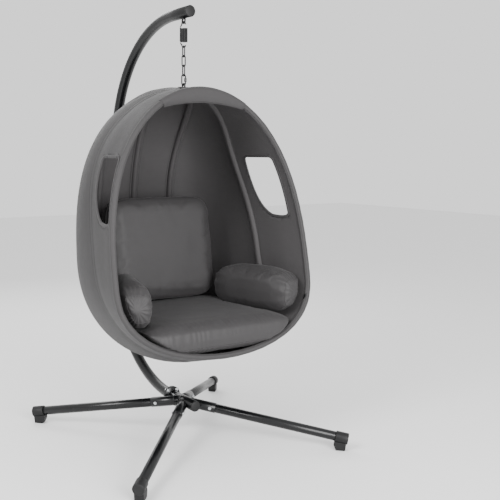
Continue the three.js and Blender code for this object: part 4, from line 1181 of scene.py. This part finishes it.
# ---- the egg -------------------------------------------------------------------------------------------
@dataclass
class Egg:
    """The sewn cover, its channels, rim, band, hems and stitching."""

    finishes: Finishes
    trees: Trees
    skin: Skin = field(default_factory=Skin)
    rows: int = 150
    half_columns: int = 84
    cover_area: float = 2.78
    band_area: float = 0.042

    def __post_init__(self) -> None:
        """Lays out the ribs and the window."""
        self.ribs = Ribs(self.skin)
        self.window = Window(self.skin)
        lines = [[self.skin.at(*spot) for spot in course] for _, course in self.ribs.all()]
        self.tree = kdtree.KDTree(sum(map(len, lines)))
        for k, point in enumerate(p for line in lines for p in line):
            self.tree.insert(point, k)
        self.tree.balance()

    def billow(self, point: Vector, t: float) -> float:
        """How far the cover stands out or in: taut over the ribs, full between them, with faint creases."""
        near = self.tree.find(point)[2]
        full = 1 - math.exp(-((near / 0.055) ** 2))
        edge = min(t / 0.12, 1.0)
        crease = noise.noise(Vector((point.x * 9, point.y * 9, point.z * 3.2))) * 0.0011
        ridge = 0.0012 * math.exp(-((near / 0.011) ** 2))
        return (0.0045 * full + crease) * edge + ridge * edge - 0.0022

    def build_cover(self) -> bpy.types.Object:
        """The sewn cover as one curved sheet with its windows cut and their edges drawn clean."""
        places = self.skin.even_places(self.half_columns)
        columns = 2 * self.half_columns + 1
        verts, spots = [], []
        for i in range(self.rows + 1):
            level = -HALF_PI + math.pi * i / self.rows
            for j in range(columns):
                t = places[self.half_columns - abs(j - self.half_columns)]
                side = 1 if j < self.half_columns else -1
                point = self.skin.at(level, t, side, 0.0015)
                if i in (0, self.rows) or j == self.half_columns:
                    point.x = 0.0
                verts.append(point)
                spots.append(t)
        faces = [tuple(reversed(f)) for f in grid_faces(self.rows + 1, columns)]
        cover = mesh_object("sewn_cover", verts, faces)
        cover.data.update()
        normals = [v.normal.copy() for v in cover.data.vertices]
        for vertex, normal, t in zip(cover.data.vertices, normals, spots):
            out = normal if normal.dot(vertex.co - EGG_MIDDLE) > 0 else -normal
            if abs(vertex.co.x) > 1e-6 or t > 0.98:
                vertex.co += out * self.billow(vertex.co, t)
        tidy(cover, 2e-5)
        self.cut_windows(cover)
        cover.data.update()
        area = sum(p.area for p in cover.data.polygons)
        wall = cover.modifiers.new("cloth", "SOLIDIFY")
        wall.thickness, wall.offset = 0.0026, -1.0
        wall.material_offset = wall.material_offset_rim = 1
        cover.data.materials.append(self.finishes.shell)
        cover.data.materials.append(self.finishes.lining)
        bake(cover)
        log.info("cover cloth area %.3f m2", area)
        return dress(cover, self.finishes.shell, Body.EGG, ["shell_cover"])

    def cut_windows(self, cover: bpy.types.Object) -> None:
        """Cuts the windows and the eye's hole, and draws the windows' edges clean."""
        outline = [(y + AXIS_Y, z) for y, z in self.window.outline(0.0, 400)]
        mesh = bmesh.new()
        mesh.from_mesh(cover.data)
        middles = [(f, f.calc_center_median()) for f in mesh.faces]
        gone = [f for f, c in middles if 0.95 < c.z < 1.35 and inside(outline, c.y, c.z)]
        axis = place(0, 0, 0).xy
        hole = [f for f, c in middles if c.z > 1.5 and (c.xy - axis).length < 0.01]
        bmesh.ops.delete(mesh, geom=gone + hole, context="FACES")
        for vertex in mesh.verts:
            p = vertex.co
            if not vertex.is_boundary or not 0.98 <= p.z <= 1.34 or abs(p.x) < 0.2:
                continue
            if p.y - AXIS_Y < self.skin.plane_y(p.z) + 0.02:
                continue
            y, z = min(outline, key=lambda q: (q[0] - p.y) ** 2 + (q[1] - p.z) ** 2)
            shift = self.skin.side_x(y - AXIS_Y, z) - self.skin.side_x(p.y - AXIS_Y, p.z)
            vertex.co = Vector((p.x + math.copysign(shift, p.x), y, z))
        bmesh.ops.recalc_face_normals(mesh, faces=mesh.faces)
        mesh.to_mesh(cover.data)
        mesh.free()
        middle = cover.data.polygons[len(cover.data.polygons) // 2]
        if middle.normal.dot(middle.center - EGG_MIDDLE) < 0:
            cover.data.flip_normals()

    def rib_frames(self, course: Sequence[tuple[float, float, int]],
                   inset: float) -> list[tuple[Vector, Vector, Vector]]:
        """Centre, inward and sideways directions along a rib at an inset from the skin."""
        points = [self.skin.at(level, t, side, inset) for level, t, side in course]
        if course[0][1] == 1.0:
            for p in points:
                p.x = 0.0
        framed = []
        for k, (point, (level, t, side)) in enumerate(zip(points, course)):
            tangent = (points[min(k + 1, len(points) - 1)] - points[max(k - 1, 0)]).normalized()
            across = Vector((1, 0, 0))
            if t <= 0.995:
                after, before = (self.skin.at(level, t + step, side, inset) for step in (0.01, -0.01))
                across = (after - before).normalized()
            inward = tangent.cross(across).normalized()
            if inward.dot(EGG_MIDDLE - point) < 0:
                inward.negate()
            framed.append((point, inward, inward.cross(tangent).normalized()))
        return framed

    def build_channels(self) -> list[bpy.types.Object]:
        """The fabric channels sewn round each rib on the inside of the cover."""
        made = []
        for name, course in self.ribs.all():
            framed = self.rib_frames(course, self.ribs.inset)
            depth = self.ribs.inset - 0.0045

            def section(k: int) -> list[tuple[float, float]]:
                """A flat-topped ridge over the rod, with a groove and a narrow tape along each side."""
                swell = 1 + 0.03 * math.sin(k * 1.9)
                half = [(-depth, 0.0215), (-depth + 0.0018, 0.021), (-depth + 0.0026, 0.0185),
                        (-depth + 0.0004, 0.0165), (-depth + 0.004, 0.0148),
                        (-0.002, 0.0135), (0.0018, 0.0108), (0.0044, 0.0072), (0.0056, 0.0035)]
                half = [(a * (swell if a > 0 else 1), b) for a, b in half]
                return [(a, -b) for a, b in half] + [(0.006 * swell, 0.0)] + half[::-1]

            channel = sweep(f"channel_{name}", framed, section, False)
            made.append(dress(channel, self.finishes.lining, Body.EGG, [name]))
        return made

    def build_rim(self) -> bpy.types.Object:
        """The padded roll sewn round the front ring, with a seam line and faint puckers."""
        fine, steps = 1440, 360
        path = self.ring_path(fine, steps)

        def section(k: int) -> list[tuple[float, float]]:
            """A soft round with a groove on its front inner side and one where the cover meets it."""
            points = []
            for a in angles(40):
                r = 0.0128 + 0.0003 * math.sin(k * 0.9 + 2 * math.sin(a)) + 0.0002 * math.sin(k * 0.37)
                for seam, deep, wide in ((-2.55, 0.0018, 0.12), (1.15, 0.0012, 0.13)):
                    gap = math.atan2(math.sin(a - seam), math.cos(a - seam))
                    r -= deep * math.exp(-((gap / wide) ** 2))
                points.append((r * math.cos(a), r * math.sin(a)))
            return points

        rim = sweep("rim_roll", path, section, True)
        return dress(rim, self.finishes.hem, Body.EGG, ["rim_sleeve"])

    def ring_path(self, fine: int, steps: int) -> list[tuple[Vector, Vector, Vector]]:
        """Even frames round the front ring: centre, outward, and rearward."""
        def at(a: float) -> Vector:
            """The ring at a full-turn angle."""
            level = math.asin(max(-1.0, min(1.0, math.sin(a))))
            p = self.skin.ring(level)
            return place(math.copysign(abs(p.x), math.cos(a)), p.y, p.z)

        line = [at(a) for a in angles(fine)]
        line.append(line[0].copy())
        points = evenly(line, steps)
        middle = place(0, self.skin.mid_y, 0.95)
        framed = []
        for i, point in enumerate(points):
            tangent = (points[(i + 1) % steps] - points[i - 1]).normalized()
            out = tangent.cross(Vector((0, 1, 0.0))).normalized()
            if out.dot(point - middle) < 0:
                out.negate()
            rear = tangent.cross(out).normalized()
            if rear.y < 0:
                rear.negate()
            framed.append((point, out, rear))
        return framed

    def build_band(self) -> tuple[bpy.types.Object, bpy.types.Object]:
        """The facing sewn over the crown of the rim, from the cover behind it down to its own lower edge."""
        half, columns, rows = 0.208, 80, 22
        roll = 0.0153
        verts = []
        for j in range(columns + 1):
            x = half * (2 * j / columns - 1)
            level = math.acos(min(abs(x) / self.skin.half_width, 1.0))
            centre = self.skin.ring(level)
            near, far = self.skin.ring(level + 0.002), self.skin.ring(level - 0.002)
            tangent = Vector((far.x - near.x, 0, far.z - near.z)).normalized()
            out = Vector((-tangent.z, 0, tangent.x))
            if out.z < 0:
                out.negate()
            out.x = math.copysign(out.x, x)
            rear = Vector((0, 1, 0))
            fade = 1 - (abs(x) / half) ** 2.2
            drop = 0.012 + 0.034 * fade
            for i in range(rows + 1):
                v = i / rows
                if v < 0.25:
                    a, b = roll - 0.001, 0.006 + 0.036 * fade * (1 - v / 0.25)
                elif v < 0.7:
                    turn = HALF_PI * (v - 0.25) / 0.45 * 1.25
                    a, b = roll * math.cos(turn), -roll * math.sin(turn) + 0.006 * (1 - (v - 0.25) / 0.45)
                else:
                    w = (v - 0.7) / 0.3
                    turn = HALF_PI * 1.25
                    a = roll * math.cos(turn) - drop * w
                    b = -roll * math.sin(turn) + 0.009 * w - 0.004 * math.sin(math.pi * w) * fade
                crease = 0.0007 * noise.noise(Vector((x * 34, v * 7, 0.3)))
                point = Vector((math.copysign(centre.x, x), centre.y, centre.z)) + out * (a + crease) + rear * b
                verts.append(place(*point))
        band = mesh_object("crown_band", verts, grid_faces(columns + 1, rows + 1))
        wall = band.modifiers.new("cloth", "SOLIDIFY")
        wall.thickness, wall.offset = 0.002, 0.0
        log.info("band cloth area %.4f m2", sum(p.area for p in band.data.polygons))
        edges = [[verts[j * (rows + 1) + i] for j in range(columns + 1)] for i in (0, rows)]
        edges += [[verts[j * (rows + 1) + i] for i in range(rows + 1)] for j in (0, columns)]
        tidy(bake(band))
        dress(band, self.finishes.band, Body.EGG, ["top_band"])
        piping = self.trees.bar.run("band_piping", edges, self.finishes.hem, Radius=0.0016, Sides=8)
        return band, dress(tidy(piping), self.finishes.hem, Body.EGG)

    def build_hems(self) -> list[bpy.types.Object]:
        """The bindings round the windows."""
        made = []
        outline = self.window.outline(0.002, 160)
        for name, side in (("left", -1), ("right", 1)):
            points = [place(side * self.skin.side_x(y, z, 0.001), y, z) for y, z in outline]
            framed = []
            for k, point in enumerate(points):
                tangent = (points[(k + 1) % len(points)] - points[k - 1]).normalized()
                out = Vector((side, 0, 0))
                out = (out - tangent * out.dot(tangent)).normalized()
                framed.append((point, out, tangent.cross(out).normalized()))
            mid = sum(points, Vector()) / len(points)
            flip = 1 if framed[0][2].dot(framed[0][0] - mid) > 0 else -1

            def section(k: int) -> list[tuple[float, float]]:
                """A flat fold, rounder at the window's edge."""
                fold = [(0.0, -0.0045), (0.0022, -0.0036), (0.0032, -0.001), (0.0034, 0.004), (0.0027, 0.0088),
                        (0.0, 0.0092),
                        (-0.0027, 0.0088), (-0.0044, 0.004), (-0.0042, -0.001), (-0.003, -0.0036)]
                ripple = 0.00025 * math.sin(k * 1.3)
                return [(a + (ripple if a > 0 else 0), flip * b) for a, b in fold]

            hem = sweep(f"window_hem_{name}", framed, section, True)
            made.append(dress(hem, self.finishes.hem, Body.EGG, [f"window_binding_{name}"]))
        return made

    def build_stitches(self, cover: bpy.types.Object) -> bpy.types.Object:
        """Twin rows beside each rib, outside and inside, and a row round each window, laid on the cloth. The dark
        thread is partly stitching and partly painted shade, standing in for the shade lines along the channels'
        edges.

        Args:
            cover: the finished cover, whose surface the rows follow.

        Returns:
            One piece with every stitch.
        """
        surface = surface_of(cover)

        def laid(points: Sequence[Vector]) -> list[Vector]:
            """The points moved onto the nearest cloth."""
            out = []
            for point in points:
                spot, normal = surface.find_nearest(point)[:2]
                out.append(spot + normal * 0.0003)
            return out

        open_rows, closed_rows = [], []
        for _, course in self.ribs.all():
            # The inside rows sit on the channels' feet. Their dark thread is stitching and also painted shade along
            # each channel's edges.
            for inset, reach in ((-0.012, 0.014), (0.012, 0.0238)):
                framed = self.rib_frames(course, inset)
                for offset in (-reach, reach):
                    open_rows.append(laid([point + across * offset for point, _, across in framed][3:-3]))
        for side in (-1, 1):
            outline = self.window.outline(-0.0125, 140)
            closed_rows.append(laid([place(side * (self.skin.side_x(y, z) + 0.012), y, z) for y, z in outline]))
        stitch = {"Pitch": 0.0075, "Length": 0.0055, "Thickness": 0.0012}
        rows = self.trees.stitch.run("rib_rows_and_painted_seam_shade", open_rows, self.finishes.thread_and_seam_shade, **stitch)
        loops = self.trees.stitch.run("loop_rows", closed_rows, self.finishes.thread_and_seam_shade, True, **stitch)
        return dress(joined("stitching", [rows, loops]), self.finishes.thread_and_seam_shade, Body.EGG)

    def build_crown(self) -> None:
        """The crown plate with its eye, and the stitched patch round its stem."""
        radius, wire = 0.0105, 0.0038
        ring_z = CHAIN_TOP - CHAIN_LINKS * CHAIN_PITCH - QUICK_INNER + wire - radius + 0.0003
        ring = [place(0, radius * math.cos(a), ring_z + radius * math.sin(a)) for a in angles(40)]
        eye = tidy(self.trees.bar.run("eye", [ring], self.finishes.powder, True, Radius=wire, Sides=16))
        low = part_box("crown_plate")[0][2]
        plate = ((0, 0), (0.0365, 0), (0.0375, 0.001), (0.0375, 0.004), (0.0365, 0.005), (0.0062, 0.005))
        neck = [(0.006, ring_z - 0.011), (0.0048, ring_z - 0.0085), (0, ring_z - 0.008)]
        stem = lathe("stem", [(r, low + z) for r, z in plate] + neck, place(0, 0, 0), Vector((0, 0, 1)), 40)
        dress(joined("crown_eye", [eye, stem]), self.finishes.powder, Body.EGG, ["crown_plate"])
        cover_z = self.skin.at(HALF_PI, 0.527).z
        patch_profile = [(0.0075, 0.0), (0.009, 0.0026), (0.02, 0.0024), (0.0265, 0.0014), (0.0275, -0.0012),
                         (0.0075, -0.0016), (0.0075, 0.0)]
        patch = lathe("eye_patch", patch_profile, place(0, 0, cover_z), Vector((0, -0.08, 1)), 48)
        dress(patch, self.finishes.hem, Body.EGG)

    def build(self) -> None:
        """Builds the egg and gives the frame's front ring and crown strut the powder coat."""
        cover = self.build_cover()
        channels = self.build_channels()
        rim = self.build_rim()
        band, piping = self.build_band()
        hems = self.build_hems()
        stitching = self.build_stitches(cover)
        self.build_crown()
        for name in ("front_ring", "crown_strut"):
            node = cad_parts[name]
            node.data.materials.clear()
            node.data.materials.append(self.finishes.powder)


# ---- cushions ------------------------------------------------------------------------------------------
def plane_ring(surface: BVHTree, centre: Vector, u: Vector, v: Vector, count: int = 200) -> list[Vector]:
    """Where rays in one plane leave a closed piece.

    Args:
        surface: the piece's faces.
        centre: a point inside it.
        u: first direction of the plane.
        v: second direction of the plane.
        count: number of rays.

    Returns:
        The points in order round the piece.
    """
    rays = (u * math.cos(a) + v * math.sin(a) for a in angles(count))
    return [hit for hit in (surface.ray_cast(centre, ray)[0] for ray in rays) if hit]


@dataclass
class Cushion:
    """A stuffed cushion: a rounded copy of its solid, swelled as cloth, then creased and seamed."""

    name: str
    node: str
    fill: float
    voxel: float
    relief: Callable[[Vector], float]
    shrink: float = 0.003
    cap: float = 0.0075
    frames: int = 20
    quick_swell: float = 0.004

    def start(self) -> bpy.types.Object:
        """The solid's shape evened out and drawn in, ready to swell."""
        obj = linked(self.name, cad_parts[self.node].data.copy())
        obj.data.materials.clear()
        tidy(obj, 1e-5)
        remesh = obj.modifiers.new("even", "REMESH")
        remesh.mode, remesh.voxel_size = "VOXEL", self.voxel
        smooth = obj.modifiers.new("round", "SMOOTH")
        smooth.factor, smooth.iterations = 0.5, 6
        bake(obj)
        normals = [v.normal.copy() for v in obj.data.vertices]
        for vertex, normal in zip(obj.data.vertices, normals):
            vertex.co -= normal * self.shrink
        return obj

    def swell(self, obj: bpy.types.Object) -> None:
        """Lets the cushion's cloth swell under pressure, within the cap."""
        rest = [v.co.copy() for v in obj.data.vertices]
        cloth = obj.modifiers.new("stuffing", "CLOTH")
        settings = cloth.settings
        settings.quality, settings.mass = 4, 0.25
        settings.use_pressure, settings.uniform_pressure_force = True, 4.0
        settings.tension_stiffness = settings.compression_stiffness = 15.0
        settings.bending_stiffness = 0.8
        settings.effector_weights.gravity = 0.0
        cloth.collision_settings.use_collision = False
        cloth.point_cache.frame_start, cloth.point_cache.frame_end = 1, self.frames
        for step in range(1, self.frames + 1):
            bpy.context.scene.frame_set(step)
        bake(obj)
        bpy.context.scene.frame_set(1)
        for vertex, start in zip(obj.data.vertices, rest):
            moved = vertex.co - start
            if moved.length > self.cap:
                vertex.co = start + moved * (self.cap / moved.length)

    def build(self, finishes: Finishes) -> bpy.types.Object:
        obj = self.start()
        self.swell(obj)
        settle = obj.modifiers.new("settle", "SMOOTH")
        settle.factor, settle.iterations = 0.5, 4
        fine = obj.modifiers.new("fine", "SUBSURF")
        fine.levels = fine.render_levels = 1
        bake(obj)
        lift = 0.0
        normals = [v.normal.copy() for v in obj.data.vertices]
        for vertex, normal in zip(obj.data.vertices, normals):
            point = vertex.co.copy()
            broad = noise.noise(point * 6) * 0.0016 + noise.noise(point * 17) * 0.0006
            vertex.co += normal * (broad + self.relief(point) + lift)
        obj.data.polygons.foreach_set("use_smooth", [True] * len(obj.data.polygons))
        dress(obj, finishes.cushion, Body.EGG, [self.node])
        return obj


@dataclass
class Cushions:
    """The seat, back and arm cushions with their welts."""

    finishes: Finishes
    trees: Trees
    seat_z: float = 0.544
    welt_drop: float = 0.036
    back_foot: tuple[float, float, float] = (0, 0.116, 0.618)
    back_middle: tuple[float, float, float] = (0, 0.072, 0.254)
    back_lean: float = math.radians(9)
    arm_at: tuple[float, float, float] = (0.34, -0.1, 0.686)
    arm_turn: float = math.radians(17)
    arm_seam: float = 0.2

    def welt(self, name: str, rings: Sequence[Sequence[Vector]], radius: float = 0.0018) -> None:
        """A cord sewn along a cushion's seams."""
        cord = self.trees.bar.run(name, rings, self.finishes.cushion, True, Radius=radius, Sides=8)
        dress(tidy(cord), self.finishes.cushion, Body.EGG)

    def seat_relief(self, p: Vector) -> float:
        """Upright wrinkles on the seat's front edge, deeper at its left."""
        y = p.y - AXIS_Y
        front = math.exp(-(((y + 0.35) / 0.05) ** 2))
        left = 0.35 + 0.65 * math.exp(-(((p.x + 0.2) / 0.12) ** 2))
        return 0.0007 * front * left * math.sin(p.x * 210 + 2.6 * math.sin(p.x * 37 + p.z * 9))

    def back_relief(self, p: Vector) -> float:
        """Soft level creases where the back cushion meets the seat."""
        low = math.exp(-(((p.z - 0.64) / 0.06) ** 2))
        return 0.0006 * low * math.sin(p.z * 150 + 2 * math.sin(p.x * 11))

    def arm_frame(self, side: int) -> Matrix:
        """An arm pillow's own frame."""
        x, y, z = self.arm_at
        return Matrix.Translation(place(side * x, y, z)) @ Matrix.Rotation(side * self.arm_turn, 4, "Z")

    def arm_relief(self, side: int) -> Callable[[Vector], float]:
        """Gathers running into the seams at a pillow's ends."""
        back_to_local = self.arm_frame(side).inverted()

        def relief(p: Vector) -> float:
            """The gathers' height at a point."""
            q = back_to_local @ p
            reach = min(max((abs(q.y) - 0.13) / 0.06, 0.0), 1.0)
            open_middle = min(math.hypot(q.x, q.z) / 0.035, 1.0)
            angle = math.atan2(q.z, q.x * 1.6)
            return 0.0013 * reach * open_middle * math.sin(17 * angle + 1.3 * math.sin(3 * angle))

        return relief

    def build(self) -> None:
        """Builds the four cushions and their welts."""
        seat = Cushion("seat_pad", "seat_cushion", 0.85, 0.0075, self.seat_relief).build(self.finishes)
        x, y, z = Vector((1, 0, 0)), Vector((0, 1, 0)), Vector((0, 0, 1))
        surface = surface_of(seat)
        self.welt("seat_welt", [plane_ring(surface, place(0, -0.036, self.seat_z - self.welt_drop), x, y, 320)])
        back = Cushion("back_pillow", "back_cushion", 0.8, 0.007, self.back_relief).build(self.finishes)
        lean = Matrix.Rotation(-self.back_lean, 3, "X")
        middle = place(*self.back_foot) + lean @ Vector(self.back_middle)
        self.welt("back_welt", [plane_ring(surface_of(back), middle, x, lean @ z, 320)])
        for name, side in (("left", -1), ("right", 1)):
            arm = Cushion(f"arm_pillow_{name}", f"arm_cushion_{name}", 0.7, 0.006,
                          self.arm_relief(side)).build(self.finishes)
            own = self.arm_frame(side)
            turn, surface = own.to_3x3(), surface_of(arm)
            rings = [plane_ring(surface, own @ Vector((0, end, 0)), turn @ x, turn @ z)
                     for end in (-self.arm_seam, self.arm_seam)]
            self.welt(f"arm_welt_{name}", rings, 0.0016)


# ---- the studio ----------------------------------------------------------------------------------------
@dataclass
class Studio:
    """Camera, floor and lights."""

    eye: tuple[float, float, float] = (-1.9059, -3.1175, 1.329)
    turn: float = -0.5395
    dip: float = 0.1242
    lens: float = 58.297
    shift: float = 0.148
    reach: float = 12.0

    def camera(self) -> None:
        """Sets the camera."""
        data = bpy.data.cameras.new("camera")
        data.lens, data.sensor_width, data.shift_x = self.lens, 36.0, self.shift
        camera = linked("camera", data)
        camera.location = place(*self.eye)
        camera.rotation_euler = (HALF_PI - self.dip, 0.0, self.turn)
        bpy.context.scene.camera = camera

    def light(self, name: str, at: tuple[float, float, float], size: float, power: float) -> None:
        """A soft area light aimed at the egg."""
        data = bpy.data.lights.new(name, "AREA")
        data.size, data.energy = size, power
        lamp = linked(name, data)
        lamp.location = place(*at)
        lamp.rotation_euler = (place(0, 0, 0.95) - lamp.location).to_track_quat("-Z", "Y").to_euler()

    def build(self) -> None:
        """Builds the pale floor, the lights and the surrounding light."""
        corners = [Vector((self.reach * x, self.reach * y, -0.0005)) for x,
                   y in ((-1, -1), (1, -1), (1, 1), (-1, 1))]
        floor = mesh_object("floor", corners, [(0, 1, 2, 3)], False)
        material, wiring, bsdf = blank("pale_floor")
        wiring.feed(bsdf, {"Base Color": (0.86, 0.86, 0.86, 1.0), "Roughness": 0.9})
        floor.data.materials.append(material)
        world = bpy.data.worlds.new("studio")
        world.use_nodes = True
        background = world.node_tree.nodes["Background"]
        background.inputs["Color"].default_value = (1.0, 1.0, 1.0, 1.0)
        background.inputs["Strength"].default_value = 1.3
        bpy.context.scene.world = world
        self.light("key", (-3.2, -1.0, 3.0), 1.6, 130.0)
        self.light("fill", (-0.2, -4.4, 1.7), 2.4, 260.0)
        self.light("rear", (0.6, 3.4, 2.8), 2.2, 60.0)


def main() -> None:
    """Builds the whole chair in order."""
    logging.basicConfig(level=logging.INFO, format="%(name)s %(message)s")
    studio = Studio()
    studio.camera()
    finishes, trees = Finishes(), Trees()
    Stand(finishes, trees).build()
    Suspension(finishes, trees).build()
    Egg(finishes, trees).build()
    Cushions(finishes, trees).build()
    studio.build()
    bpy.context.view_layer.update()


if __name__ == "__main__":
    main()
